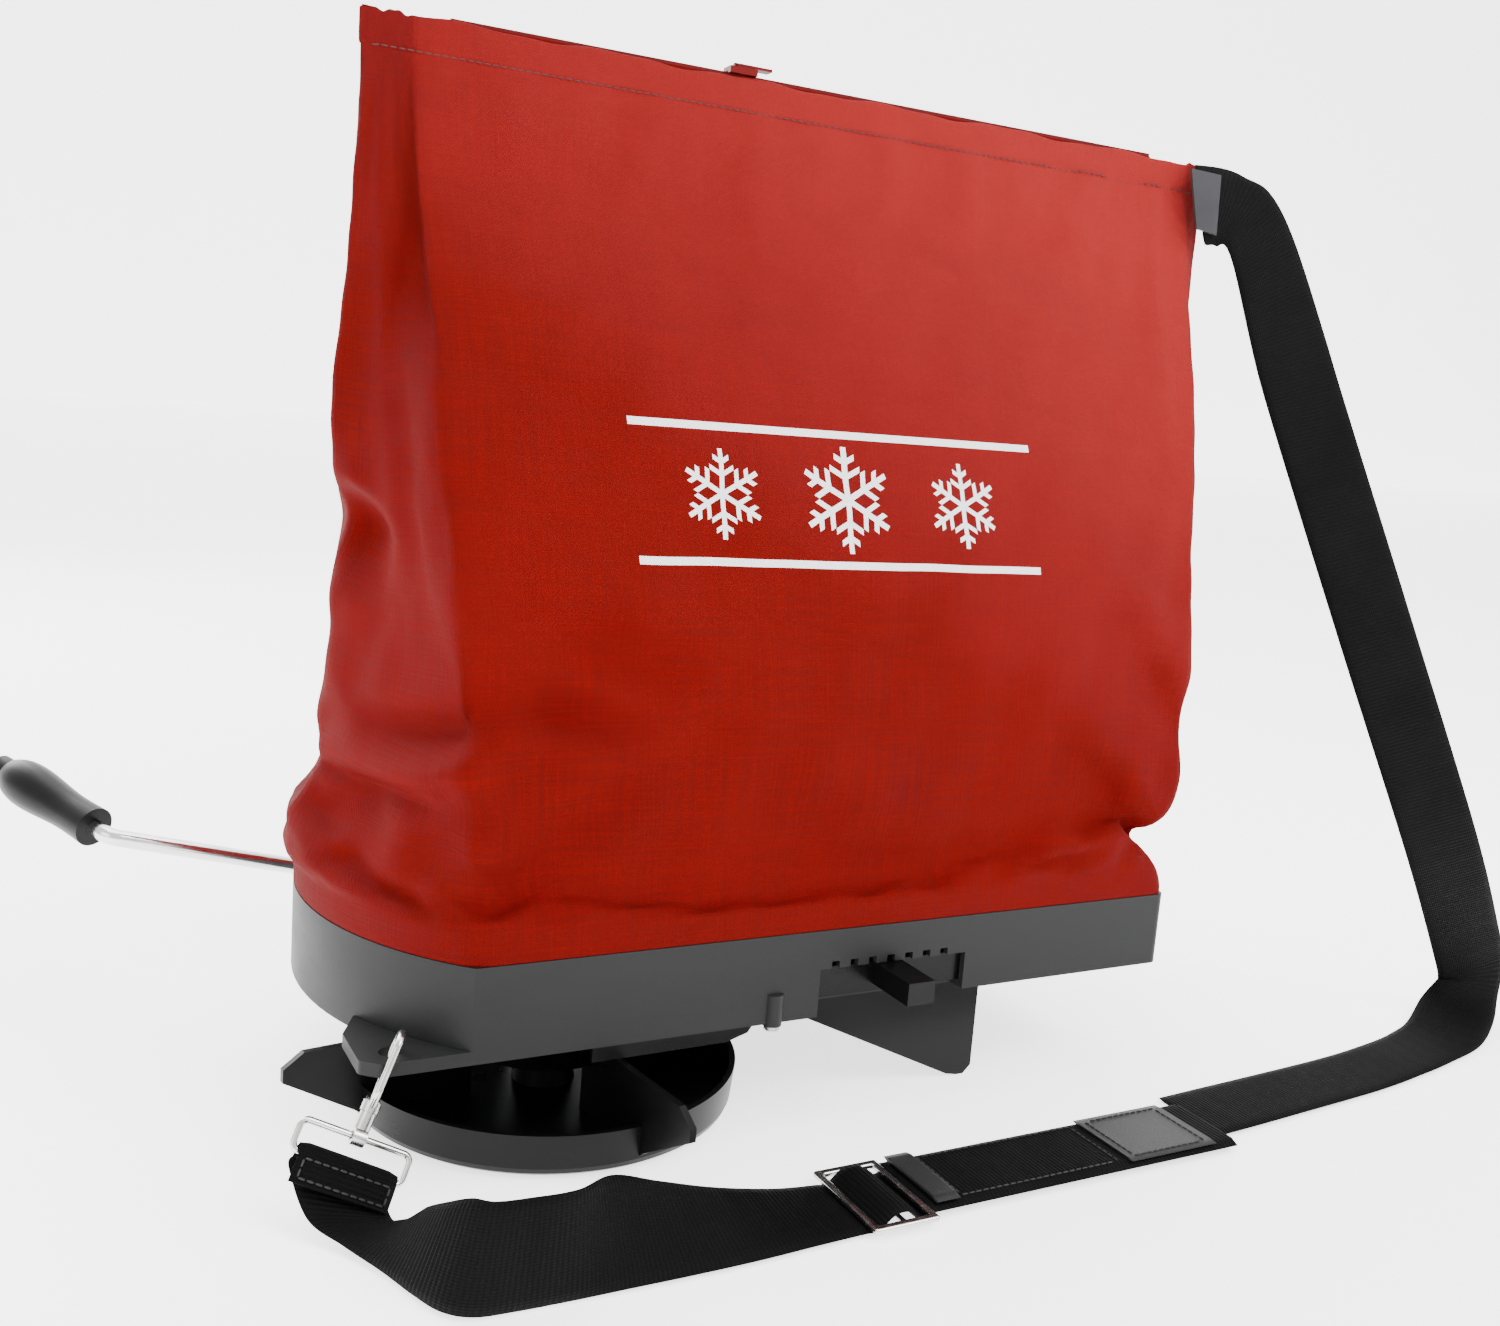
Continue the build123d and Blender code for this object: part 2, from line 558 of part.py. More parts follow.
# the long run up to the bag: centres of the webbing, and the way its outer edge points
RISER_RUN = [(522, -80, 27), (508, -84, 46), (457, -96, 110), (408, -76, 220), (380, -35, 335)]
RISER_LIE = Vector(0.87, -0.37, 0.32).normalized()


def riser_pairs():
    """Edge points of the run, each pair half a width either side of its centre."""
    centres = [Vector(*point) for point in RISER_RUN]
    return [(tuple(c + RISER_LIE * 20), tuple(c - RISER_LIE * 20)) for c in centres]


RISER_HIGH = [
    ((375, -14, 422), (345, -9, 400)), ((352, -4, 443), (336, -6, 404)),
    ((322, 0, 444), (329, -6, 405)),
]
STRAP_RISER = RISER_LOW + riser_pairs() + RISER_HIGH


def sheet_solid(upper, lower):
    """Closed solid between two matching grids of points."""
    rows, columns = len(upper), len(upper[0])
    triangles = []

    def quad(a, b, c, d):
        triangles.extend([(a, b, c), (a, c, d)])

    for i in range(rows - 1):
        for j in range(columns - 1):
            quad(upper[i][j], upper[i][j + 1], upper[i + 1][j + 1], upper[i + 1][j])
            quad(lower[i][j], lower[i + 1][j], lower[i + 1][j + 1], lower[i][j + 1])
        quad(lower[i][0], upper[i][0], upper[i + 1][0], lower[i + 1][0])
        quad(upper[i][-1], lower[i][-1], lower[i + 1][-1], upper[i + 1][-1])
    for j in range(columns - 1):
        quad(upper[0][j], lower[0][j], lower[0][j + 1], upper[0][j + 1])
        quad(lower[-1][j], upper[-1][j], upper[-1][j + 1], lower[-1][j + 1])
    return skin(triangles)


def ribbon(pairs, thick=WEB_THICK):
    """Webbing along pairs of edge points: one closed solid of flat triangles."""
    upper, lower = [], []
    for i in range(len(pairs)):
        left, right = Vector(*pairs[i][0]), Vector(*pairs[i][1])
        j, k = max(i - 1, 0), min(i + 1, len(pairs) - 1)
        along = Vector(*pairs[k][0]) + Vector(*pairs[k][1]) - Vector(*pairs[j][0]) - Vector(*pairs[j][1])
        up = along.cross(right - left).normalized() * (thick / 2)
        upper.append([left + up, right + up])
        lower.append([left - up, right - up])
    return sheet_solid(upper, lower)


PAD_X, PAD_Y, PAD_HIGH = (102.0, 265.0), (-159.0, -117.0), 4.6
TAPE_X = [(105.0, 114.0), (205.0, 253.0)]


def strap_pad():
    """Doubled, stitched stretch of the strap."""
    pad = block(*PAD_X, *PAD_Y, 0.3, PAD_HIGH)
    return fillet(pad.edges().filter_by(Axis.Z), 2.0)


def pad_tapes():
    tapes = Part()
    for x0, x1 in TAPE_X:
        tapes += block(x0, x1, PAD_Y[0] + 1, PAD_Y[1] - 1, PAD_HIGH, PAD_HIGH + 1)
    return tapes


def strap_buckle():
    """Three-bar slide buckle lying round the webbing."""
    frame = block(72, 102 - 0.4, -165, -117, 2.4, 4.8) - block(75, 98.6, -161.5, -120.5, 0, 8)
    frame = fillet(frame.edges().filter_by(Axis.Z), 1.2)
    frame = fillet(frame.edges().filter_by(Axis.Z, reverse=True), 0.9)
    return frame + Pos(87, -141, 3.5) * Rot(90, 0, 0) * Cylinder(1.1, 45)


# --------------------------------------------------------------------- snap hook
HOOK_DOWN = Vector(-0.46, -0.29, -0.84).normalized()
HOOK_OUT = Vector(-0.35, -0.94, 0)
HOOK_OUT = (HOOK_OUT - HOOK_DOWN * HOOK_OUT.dot(HOOK_DOWN)).normalized()
HOOK_AXIS = HOOK_OUT.cross(HOOK_DOWN).normalized()
EAR_MID = Vector(*EAR_HOLE, 50.75)
WIRE_R, HOOK_WIDE = 1.5, 13.0


def hook_point(out, down, across=0.0):
    """Point in the hook's own plane, measured from the middle of the ear's hole."""
    return EAR_MID + HOOK_OUT * out + HOOK_DOWN * down + HOOK_AXIS * across


def rod_between(start, stop, radius):
    """Straight round bar from one point to another."""
    way = stop - start
    middle = (start + stop) * 0.5
    return Plane(origin=tuple(middle), z_dir=tuple(way.normalized())) * Cylinder(radius, way.length)


def snap_hook():
    """Bent wire hook with a collar and two cheeks for its gate."""
    points = [hook_point(*p) for p in ((0, 7), (0, -10), (HOOK_WIDE, -10), (HOOK_WIDE, 13), (8, 19))]
    path = FilletPolyline(*[tuple(p) for p in points], radius=[6.4, 6.4, 5])
    start = Plane(origin=tuple(points[0]), z_dir=tuple((points[1] - points[0]).normalized()))
    hook = sweep(start * Circle(WIRE_R), path=path)
    hook += rod_between(hook_point(6.5, 16.6), hook_point(6.5, 20.4), 3.6)
    hook += rod_between(GATE_PIN - HOOK_AXIS * 2.6, GATE_PIN + HOOK_AXIS * 2.6, 2.3)
    hook -= rod_between(hook_point(6.5, 19.4), hook_point(6.5, 21), 1.3)
    hook -= rod_between(GATE_PIN - HOOK_AXIS * 6, GATE_PIN + HOOK_AXIS * 6, 0.8)
    slot = rod_between(GATE_PIN - HOOK_AXIS * 1.4, GATE_PIN + HOOK_AXIS * 1.4, 2.6)
    return hook - slot


GATE_PIN = EAR_MID + HOOK_OUT * 3.6 + HOOK_DOWN * 17.6


def gate_pin():
    return rod_between(GATE_PIN - HOOK_AXIS * 2.6, GATE_PIN + HOOK_AXIS * 2.6, 0.8)


def snap_gate():
    """Sprung gate that closes the hook's mouth."""
    eye = rod_between(GATE_PIN - HOOK_AXIS * 1.25, GATE_PIN + HOOK_AXIS * 1.25, 2.2)
    bar = rod_between(GATE_PIN + (hook_point(0, 7.4) - GATE_PIN).normalized() * 1.5, hook_point(0, 7.4), 1.1)
    return eye + bar - rod_between(GATE_PIN - HOOK_AXIS * 2, GATE_PIN + HOOK_AXIS * 2, 0.8 + CLEAR)


LOOP_MID = hook_point(6.5, 30)
LOOP_WAY = Vector(0.92, -0.12, -0.39)
LOOP_WAY = (LOOP_WAY - HOOK_DOWN * LOOP_WAY.dot(HOOK_DOWN)).normalized()
LOOP_DROP = Vector(-0.28, -0.45, -0.85)
LOOP_DROP = (LOOP_DROP - LOOP_WAY * LOOP_DROP.dot(LOOP_WAY)).normalized()
LOOP_WIDE, LOOP_HIGH, LOOP_R = 44.0, 11.2, 1.3
STRAP_BAR = LOOP_MID + LOOP_DROP * LOOP_HIGH


def hook_swivel():
    """Swivel stem, barrel and eye below the hook."""
    body = rod_between(hook_point(6.5, 19.5), hook_point(6.5, 22), 1.3)
    body += rod_between(hook_point(6.5, 20.6), hook_point(6.5, 27), 3.1)
    body += rod_between(LOOP_MID - LOOP_WAY * 2.6, LOOP_MID + LOOP_WAY * 2.6, 3.5)
    return body - rod_between(LOOP_MID - LOOP_WAY * 6, LOOP_MID + LOOP_WAY * 6, LOOP_R + 0.5)


def strap_loop():
    """Closed wire loop that carries the strap's end."""
    half = LOOP_WIDE / 2
    corners = [LOOP_MID, LOOP_MID + LOOP_WAY * half, STRAP_BAR + LOOP_WAY * half,
               STRAP_BAR - LOOP_WAY * half, LOOP_MID - LOOP_WAY * half, LOOP_MID - LOOP_WAY * 0.01]
    path = FilletPolyline(*[tuple(c) for c in corners], radius=3)
    start = Plane(origin=tuple(LOOP_MID), z_dir=tuple(LOOP_WAY))
    return sweep(start * Circle(LOOP_R), path=path)


def strap_fold():
    """Webbing turned round the loop's lower bar."""
    ends = STRAP_BAR - LOOP_WAY * 19, STRAP_BAR + LOOP_WAY * 19
    roll = rod_between(*ends, LOOP_R + 0.3 + WEB_THICK)
    return roll - rod_between(*ends, LOOP_R + 0.3)


def corner_patch():
    """Glossy patch sewn over the strap's end at the bag's corner."""
    return ribbon([((318, -1.8, 441), (322, -6, 412)), ((336, -4.2, 440), (334, -7.9, 410))], 1.2)


# ------------------------------------------------------------------------- write
def screws(places, *heights, **sizes):
    group = Part()
    for x, y in places:
        group += screw(x, y, *heights, **sizes)
    return group


NODES = {
    "tray": tray,
    "gear_cover": gear_cover,
    "cover_screws": lambda: screws(COVER_SCREWS, 57.4, 47.5),
    "gear_shroud": gear_shroud,
    "rear_hanger": rear_hanger,
    "hanger_screws": lambda: screws(HANGER_SCREWS, 55, 48),
    "crank_bush_front": lambda: crank_bush(17, 31),
    "crank_bush_rear": lambda: crank_bush(*HANGER_Y),
    "impeller_bush": impeller_bush,
    "gate_rail": gate_rail,
    "leg_near": lambda: leg(-50, 12),
    "leg_far": lambda: leg(115, -12),
    "leg_screws": lambda: screws(LEG_SCREWS, 49, 54.8),
    "boss_screw": lambda: screws([BOSS_SCREW], 47, 56.5),
    "rim_bead": rim_bead,
    "bag_shell": bag_shell,
    "zip_teeth": zip_teeth,
    "zip_tape_front": lambda: zip_tape(1),
    "zip_tape_back": lambda: zip_tape(-1),
    "zip_slider": zip_slider,
    "zip_pull": zip_pull,
    "corner_patch": corner_patch,
    "snap_hook": snap_hook,
    "snap_gate": snap_gate,
    "gate_pin": gate_pin,
    "hook_swivel": hook_swivel,
    "strap_loop": strap_loop,
    "front_deflector": front_deflector,
    "strap_fold": strap_fold,
    "strap_front": lambda: ribbon(STRAP_FRONT),
    "strap_buckle": strap_buckle,
    "strap_pad": strap_pad,
    "pad_tapes": pad_tapes,
    "strap_side": lambda: ribbon(STRAP_SIDE),
    "strap_riser": lambda: ribbon(STRAP_RISER),
    "impeller": impeller,
    "impeller_shaft": impeller_shaft,
    "hub_pin": hub_pin,
    "impeller_pinion": pinion,
    "shaft_clip": shaft_clip,
    "agitator": agitator,
    "crank_rod": crank_rod,
    "crown_gear": crown_gear,
    "crank_pin": crank_pin,
    "crank_collar": crank_collar,
    "crank_grip": grip,
    "grip_cap": grip_cap,
    "gate_slide": gate_slide,
}

for node, make in NODES.items():
    save(node, make())
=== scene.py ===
"""Shoulder-bag salt spreader: fabric, webbing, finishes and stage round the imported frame."""
import math

import bpy
import numpy as np
from bpy.props import FloatProperty, FloatVectorProperty, IntProperty, PointerProperty
from mathutils import Matrix, Vector


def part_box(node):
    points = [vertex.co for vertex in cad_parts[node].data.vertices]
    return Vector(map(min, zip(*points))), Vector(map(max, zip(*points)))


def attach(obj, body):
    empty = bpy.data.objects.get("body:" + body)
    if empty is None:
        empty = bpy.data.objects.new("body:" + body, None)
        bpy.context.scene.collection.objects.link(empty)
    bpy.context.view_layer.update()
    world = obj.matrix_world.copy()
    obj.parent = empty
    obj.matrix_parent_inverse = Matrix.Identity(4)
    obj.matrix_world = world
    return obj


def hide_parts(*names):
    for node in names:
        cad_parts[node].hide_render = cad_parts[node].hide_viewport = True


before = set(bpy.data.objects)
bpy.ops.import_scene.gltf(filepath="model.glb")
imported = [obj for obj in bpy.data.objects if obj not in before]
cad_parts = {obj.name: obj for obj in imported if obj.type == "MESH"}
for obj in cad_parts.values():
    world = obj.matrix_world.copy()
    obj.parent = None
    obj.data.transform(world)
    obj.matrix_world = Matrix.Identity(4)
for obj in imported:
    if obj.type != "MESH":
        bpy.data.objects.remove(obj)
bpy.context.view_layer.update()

bl_info = {
    "name": "Salt spreader dressing",
    "version": (1, 0, 0),
    "blender": (4, 5, 0),
    "location": "3D View > Sidebar > Spreader",
    "description": "Dresses the salt spreader's frame with its bag, strap, finishes and stage",
    "category": "Object",
}

MM = 0.001
TRAY_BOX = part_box("tray")


# ---------------------------------------------------------------- settings
class SpreaderSizes(bpy.types.PropertyGroup):
    web_width: FloatProperty(
        name="Webbing width", description="Width of the shoulder webbing",
        default=0.0395, min=0.02, unit="LENGTH")
    web_thickness: FloatProperty(
        name="Webbing thickness", description="Thickness of one layer of webbing",
        default=0.0017, min=0.0005, unit="LENGTH")
    rib_pitch: FloatProperty(
        name="Rib pitch", description="Distance between the webbing's cross ribs",
        default=0.0019, min=0.0008, unit="LENGTH")
    rib_height: FloatProperty(
        name="Rib height", description="How far each rib stands out",
        default=0.00016, min=0.0, unit="LENGTH")
    cloth_thickness: FloatProperty(
        name="Cloth thickness", description="Thickness of the bag's woven cloth",
        default=0.0011, min=0.0004, unit="LENGTH")
    hem_height: FloatProperty(
        name="Hem height", description="Height of the folded hem along the bag's top",
        default=0.0155, min=0.005, unit="LENGTH")
    stitch_pitch: FloatProperty(
        name="Stitch pitch", description="Distance from one stitch to the next",
        default=0.0034, min=0.001, unit="LENGTH")
    fold_depth: FloatProperty(
        name="Fold depth", description="Strength of the bag's hand-placed folds",
        default=1.7, min=0.0, max=2.5)
    settle_frames: IntProperty(
        name="Settling frames", description="Frames for which the cloth settles",
        default=16, min=1, max=60)


class SpreaderColours(bpy.types.PropertyGroup):
    bag: FloatVectorProperty(
        name="Bag", description="Colour of the bag's cloth", subtype="COLOR",
        size=3, default=(0.118, 0.0002, 0.0001), min=0, max=1)
    print: FloatVectorProperty(
        name="Print", description="Colour of the printed emblem", subtype="COLOR",
        size=3, default=(0.85, 0.83, 0.84), min=0, max=1)
    tray: FloatVectorProperty(
        name="Tray", description="Colour of the moulded tray", subtype="COLOR",
        size=3, default=(0.0145, 0.0147, 0.015), min=0, max=1)
    plastic: FloatVectorProperty(
        name="Black plastic", description="Colour of the black mouldings", subtype="COLOR",
        size=3, default=(0.002, 0.002, 0.0021), min=0, max=1)
    webbing: FloatVectorProperty(
        name="Webbing", description="Colour of the webbing", subtype="COLOR",
        size=3, default=(0.0016, 0.0016, 0.0017), min=0, max=1)


# ---------------------------------------------------------------- shader maths
class Number:
    """A value inside a shader; sums on it become Math nodes."""

    def __init__(self, finish, socket):
        self.finish = finish
        self.socket = socket

    def math(self, operation, *values):
        node = self.finish.node("ShaderNodeMath", {"operation": operation}, dict(enumerate(values)))
        return Number(self.finish, node.outputs[0])

    def __add__(self, other):
        return self.math("ADD", self, other)

    def __sub__(self, other):
        return self.math("SUBTRACT", self, other)

    def __rsub__(self, other):
        return self.math("SUBTRACT", other, self)

    def __mul__(self, other):
        return self.math("MULTIPLY", self, other)

    def __truediv__(self, other):
        return self.math("DIVIDE", self, other)

    def __lt__(self, other):
        return self.math("LESS_THAN", self, other)

    def __gt__(self, other):
        return self.math("GREATER_THAN", self, other)

    __radd__ = __add__
    __rmul__ = __mul__

    def sin(self):
        return self.math("SINE", self)

    def abs(self):
        return self.math("ABSOLUTE", self)

    def step(self, edge, soft):
        """1 below edge, 0 above it, with a soft border."""
        return self.finish.value("ShaderNodeMapRange", {"interpolation_type": "SMOOTHSTEP"},
                                 {0: self, 1: edge - soft, 2: edge + soft, 3: 1.0, 4: 0.0})


class Finish:
    """One procedural material."""

    def __init__(self, name):
        self.material = bpy.data.materials.new(name)
        self.material.use_nodes = True
        self.tree = self.material.node_tree
        self.tree.nodes.clear()
        self.shader = self.node("ShaderNodeBsdfPrincipled")
        output = self.node("ShaderNodeOutputMaterial")
        self.tree.links.new(self.shader.outputs[0], output.inputs[0])

    def node(self, kind, settings=None, inputs=None):
        node = self.tree.nodes.new(kind)
        for key, value in (settings or {}).items():
            setattr(node, key, value)
        for key, value in (inputs or {}).items():
            self.feed(node.inputs[key], value)
        return node

    def feed(self, socket, value):
        if isinstance(value, Number):
            value = value.socket
        if isinstance(value, bpy.types.NodeSocket):
            self.tree.links.new(value, socket)
        else:
            socket.default_value = value

    def value(self, kind, settings=None, inputs=None, output=0):
        return Number(self, self.node(kind, settings, inputs).outputs[output])

    def position(self, scale=(1, 1, 1)):
        place = self.node("ShaderNodeTexCoord").outputs["Object"]
        return self.node("ShaderNodeMapping", None, {"Vector": place, "Scale": scale}).outputs[0]

    def surface(self, scale=(1, 1, 1)):
        """The piece's own UV map, in metres along the cloth."""
        place = self.node("ShaderNodeUVMap", {"uv_map": "UVMap"}).outputs[0]
        return self.node("ShaderNodeMapping", None, {"Vector": place, "Scale": scale}).outputs[0]

    def axes(self, vector):
        split = self.node("ShaderNodeSeparateXYZ", None, {0: vector})
        return [Number(self, split.outputs[k]) for k in range(3)]

    def noise(self, vector, scale, detail=3.0, roughness=0.5):
        return self.value("ShaderNodeTexNoise", None,
                          {"Vector": vector, "Scale": scale, "Detail": detail, "Roughness": roughness})

    def spread(self, number, low, high, to_low, to_high):
        return self.value("ShaderNodeMapRange", None, {0: number, 1: low, 2: high, 3: to_low, 4: to_high})

    def blend(self, factor, first, second, mode="MIX"):
        node = self.node("ShaderNodeMix", {"data_type": "RGBA", "blend_type": mode, "clamp_factor": True},
                         {0: factor, 6: colour(first), 7: colour(second)})
        return node.outputs[2]

    def bump(self, height, distance, normal=None):
        inputs = {"Height": height, "Distance": distance, "Strength": 1.0}
        if normal is not None:
            inputs["Normal"] = normal
        return self.node("ShaderNodeBump", None, inputs).outputs[0]

    def finish(self, **sockets):
        for name, value in sockets.items():
            self.feed(self.shader.inputs[name.replace("_", " ")], colour(value))
        return self.material


def colour(value):
    """Three numbers become an opaque colour; anything else is passed on."""
    if isinstance(value, (Number, bpy.types.NodeSocket, int, float)):
        return value
    return (*value[:3], 1.0)


# ---------------------------------------------------------------- finishes
def cloth_finish(name, base, emblem=None):
    """Plain-woven polyester: warp and weft, slubs, soft tone differences, and on the bag a painted highlight
    towards the upper right.
    """
    f = Finish(name)
    cloth = f.surface()
    across, up, _ = f.axes(cloth)
    wander = f.noise(cloth, 60.0, 2.0) * 0.004
    warp = ((across + wander) * (math.tau / 0.00085)).sin()
    weft = ((up + wander) * (math.tau / 0.00095)).sin()
    weave = warp * weft
    slub_up = f.noise(f.surface((900, 22, 1)), 1.0, 3.0)
    slub_across = f.noise(f.surface((22, 900, 1)), 1.0, 3.0)
    slubs = slub_up + slub_across - 1.0
    patches = f.noise(f.position(), 9.0, 4.0, 0.6)
    deep = tuple(c * 0.72 for c in base)
    light = (min(base[0] * 1.16, 1), base[1] * 1.8 + 0.0006, base[2] * 1.8 + 0.0005)
    tone = f.blend(f.spread(patches, 0.3, 0.7, 0, 1), deep, base)
    tone = f.blend(f.spread(slubs, -0.12, 0.22, 0, 0.75), tone, light)
    tone = f.blend(f.spread(weave, -1, 1, 0.28, 0), tone, deep)
    rough = f.spread(slubs, -0.2, 0.2, 0.74, 0.86)
    if emblem is not None:
        x, _, z = f.axes(f.position())
        # painted highlight: the bag's cloth is made lighter red towards its upper right, where the light
        # falls
        painted_highlight = f.spread(x * 0.55 + z * 0.9 + patches * 0.06, 0.30, 0.54, 0, 0.6)
        tone = f.blend(painted_highlight, tone, (base[0] * 2.3, base[0] * 0.16, base[0] * 0.15))
        mask = emblem(f)
        worn = mask * f.spread(f.noise(cloth, 2600.0, 2.0), 0.3, 0.36, 0.86, 1.0)
        tone = f.blend(worn, tone, settings().colours.print)
        rough = rough - mask * 0.3
    height = weave * 0.5 + slubs * 1.6
    return f.finish(Base_Color=tone, Roughness=rough, Normal=f.bump(height, 0.00022),
                    Specular_IOR_Level=0.08)


def snow_emblem(f):
    """Three six-armed snow crystals between two thin rules, on the bag's front."""
    x, _, z = f.axes(f.position())
    left, right, low, high = 0.012, 0.212, 0.242, 0.297
    middle = (low + high) / 2
    inside = (x > left) * (x < right)
    rules = ((z - high).abs() < 0.0016) + ((z - low).abs() < 0.0016)
    mask = inside * rules
    for centre, size in ((0.052, 0.0185), (0.112, 0.0225), (0.172, 0.0185)):
        mask = mask + crystal(f, x - centre, z - middle, size)
    front = f.axes(f.node("ShaderNodeNewGeometry").outputs["Normal"])[1] < -0.15
    return (mask > 0.5) * front


def crystal(f, x, z, size):
    """Mask of one snow crystal, folded on to a single arm."""
    radius = f.value("ShaderNodeMath", {"operation": "SQRT"}, {0: x * x + z * z})
    angle = f.value("ShaderNodeMath", {"operation": "ARCTAN2"}, {0: x, 1: z})
    sector = math.pi / 3
    fold = f.value("ShaderNodeMath", {"operation": "PINGPONG"}, {0: angle + sector / 2 * 12, 1: sector / 2})
    along = radius * f.value("ShaderNodeMath", {"operation": "COSINE"}, {0: fold})
    off = radius * fold.sin()
    mask = (off < size * 0.055) * (along < size)
    for start, reach in ((0.42, 0.30), (0.7, 0.2)):
        run = along - size * start
        slant = (run * math.sin(sector) - off * math.cos(sector)).abs()
        mask = mask + (slant < size * 0.05) * (off < size * reach) * (off > 0.0)
    return mask


def webbing_finish(name, base):
    """Ribbed polypropylene webbing: dark ribs, finer threads, a dusty bloom."""
    f = Finish(name)
    cloth = f.surface()
    across, along, _ = f.axes(cloth)
    pitch = settings().sizes.rib_pitch
    rib = (along * (math.tau / pitch)).sin()
    thread = (across * (math.tau / 0.0011)).sin()
    fuzz = f.noise(cloth, 2400.0, 3.0)
    broad = f.noise(f.position(), 26.0, 4.0)
    pale = tuple(c * 3.4 for c in base)
    tone = f.blend(f.spread(broad, 0.35, 0.75, 0, 0.5), base, pale)
    tone = f.blend(f.spread(rib, -1, 0.2, 0.55, 0), tone, tuple(c * 0.4 for c in base))
    tone = f.blend(f.spread(fuzz, 0.6, 0.8, 0, 0.5), tone, pale)
    height = rib * 0.5 + thread * 0.35 + fuzz * 0.4
    return f.finish(Base_Color=tone, Roughness=f.spread(fuzz, 0.3, 0.7, 0.62, 0.8),
                    Normal=f.bump(height, 0.00016), Specular_IOR_Level=0.06)


def tape_finish(name, base):
    """Smooth close-woven tape with a slight gloss."""
    f = Finish(name)
    across, along, _ = f.axes(f.surface())
    twill = ((along + across) * (math.tau / 0.0009)).sin()
    broad = f.noise(f.position(), 60.0, 3.0)
    tone = f.blend(f.spread(broad, 0.3, 0.7, 0, 1), base, tuple(c * 1.9 for c in base))
    return f.finish(Base_Color=tone, Roughness=f.spread(twill, -1, 1, 0.42, 0.52),
                    Normal=f.bump(twill, 0.00006), Specular_IOR_Level=0.3)


def moulded_finish(name, base, gloss, grain=0.00005, lighter=1.35):
    """Injection-moulded plastic: fine spark grain, faint flow marks, rubbed patches."""
    f = Finish(name)
    place = f.position()
    grain_noise = f.noise(place, 1900.0, 2.0, 0.6)
    flow = f.noise(f.position((1, 1, 3)), 14.0, 5.0, 0.55)
    scuffs = f.noise(f.position((12, 12, 160)), 5.0, 4.0, 0.7)
    dark, pale = (tuple(c * factor for c in base) for factor in (0.88, 1.12))
    tone = f.blend(f.spread(flow, 0.3, 0.7, 0, 1), dark, pale)
    tone = f.blend(f.spread(scuffs, 0.64, 0.78, 0, 0.45), tone, tuple(c * lighter for c in base))
    rough = f.spread(flow, 0.3, 0.7, gloss - 0.05, gloss + 0.06) + f.spread(scuffs, 0.6, 0.8, 0, 0.12)
    height = grain_noise + scuffs * 0.3
    return f.finish(Base_Color=tone, Roughness=rough, Normal=f.bump(height, grain),
                    IOR=1.5, Specular_IOR_Level=0.13)


def plated_finish(name, base, rough, streak=(1, 1, 1)):
    """Bright plated steel with faint drawing lines and fingerprints of dullness."""
    f = Finish(name)
    lines = f.noise(f.position(streak), 220.0, 4.0, 0.7)
    smudge = f.noise(f.position(), 70.0, 3.0)
    tone = f.blend(f.spread(smudge, 0.35, 0.7, 0, 1), base, tuple(c * 0.82 for c in base))
    roughness = f.spread(lines, 0.3, 0.7, rough * 0.7, rough * 1.4) + f.spread(smudge, 0.5, 0.8, 0, 0.08)
    return f.finish(Base_Color=tone, Metallic=1.0, Roughness=roughness, Normal=f.bump(lines, 0.00001))


def thread_finish(name, base):
    """Twisted sewing thread."""
    f = Finish(name)
    x, y, z = f.axes(f.position())
    twist = ((x + y + z) * (math.tau / 0.0006)).sin()
    tone = f.blend(f.spread(twist, -1, 1, 0, 0.6), base, tuple(c * 0.5 for c in base))
    return f.finish(Base_Color=tone, Roughness=0.7, Normal=f.bump(twist, 0.00005))


# ---------------------------------------------------------------- helpers
def settings():
    return bpy.context.scene.spreader_settings


def clear_selection():
    bpy.ops.object.select_all(action="DESELECT")


def new_object(name, points, faces, uvs=None, smooth=True):
    """Mesh object from points in metres; uvs holds one pair for each face corner."""
    mesh = bpy.data.meshes.new(name)
    mesh.from_pydata([tuple(p) for p in points], [], faces)
    if uvs is not None:
        layer = mesh.uv_layers.new(name="UVMap")
        layer.data.foreach_set("uv", np.asarray(uvs, dtype=np.float32).ravel())
    mesh.polygons.foreach_set("use_smooth", [smooth] * len(mesh.polygons))
    mesh.update()
    thing = bpy.data.objects.new(name, mesh)
    bpy.context.collection.objects.link(thing)
    return thing


def dress(thing, material, body, slot, *nodes):
    thing.data.materials.clear()
    thing.data.materials.append(material)
    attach(thing, body)
    if nodes:
        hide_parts(*nodes)


def dress_nodes(material, *nodes):
    for node in nodes:
        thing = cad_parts[node]
        if not thing.material_slots:
            thing.data.materials.append(material)
        for slot in thing.material_slots:
            slot.material = material


def apply_modifiers(thing):
    clear_selection()
    thing.select_set(True)
    bpy.context.view_layer.objects.active = thing
    for modifier in list(thing.modifiers):
        bpy.ops.object.modifier_apply(modifier=modifier.name)


def smooth_curve(points, steps):
    """Catmull-Rom curve through the points, with the given steps on each run."""
    points = np.asarray(points, dtype=float)
    padded = np.vstack([2 * points[0] - points[1], points, 2 * points[-1] - points[-2]])
    pieces = []
    for k in range(len(points) - 1):
        a, b, c, d = padded[k:k + 4]
        t = np.linspace(0, 1, steps, endpoint=False)[:, None]
        pieces.append(0.5 * (2 * b + (c - a) * t + (2 * a - 5 * b + 4 * c - d) * t**2
                             + (3 * b - a - 3 * c + d) * t**3))
    return np.vstack(pieces + [points[-1:]])


def resample(line, count):
    """The same lines at evenly spaced places; line is steps x strands x 3."""
    middle = line.mean(axis=1)
    run = np.concatenate([[0], np.cumsum(np.linalg.norm(np.diff(middle, axis=0), axis=1))])
    wanted = np.linspace(0, run[-1], count)
    shape = line.reshape(len(line), -1)
    even = np.stack([np.interp(wanted, run, shape[:, k]) for k in range(shape.shape[1])], axis=1)
    return even.reshape(count, *line.shape[1:]), wanted


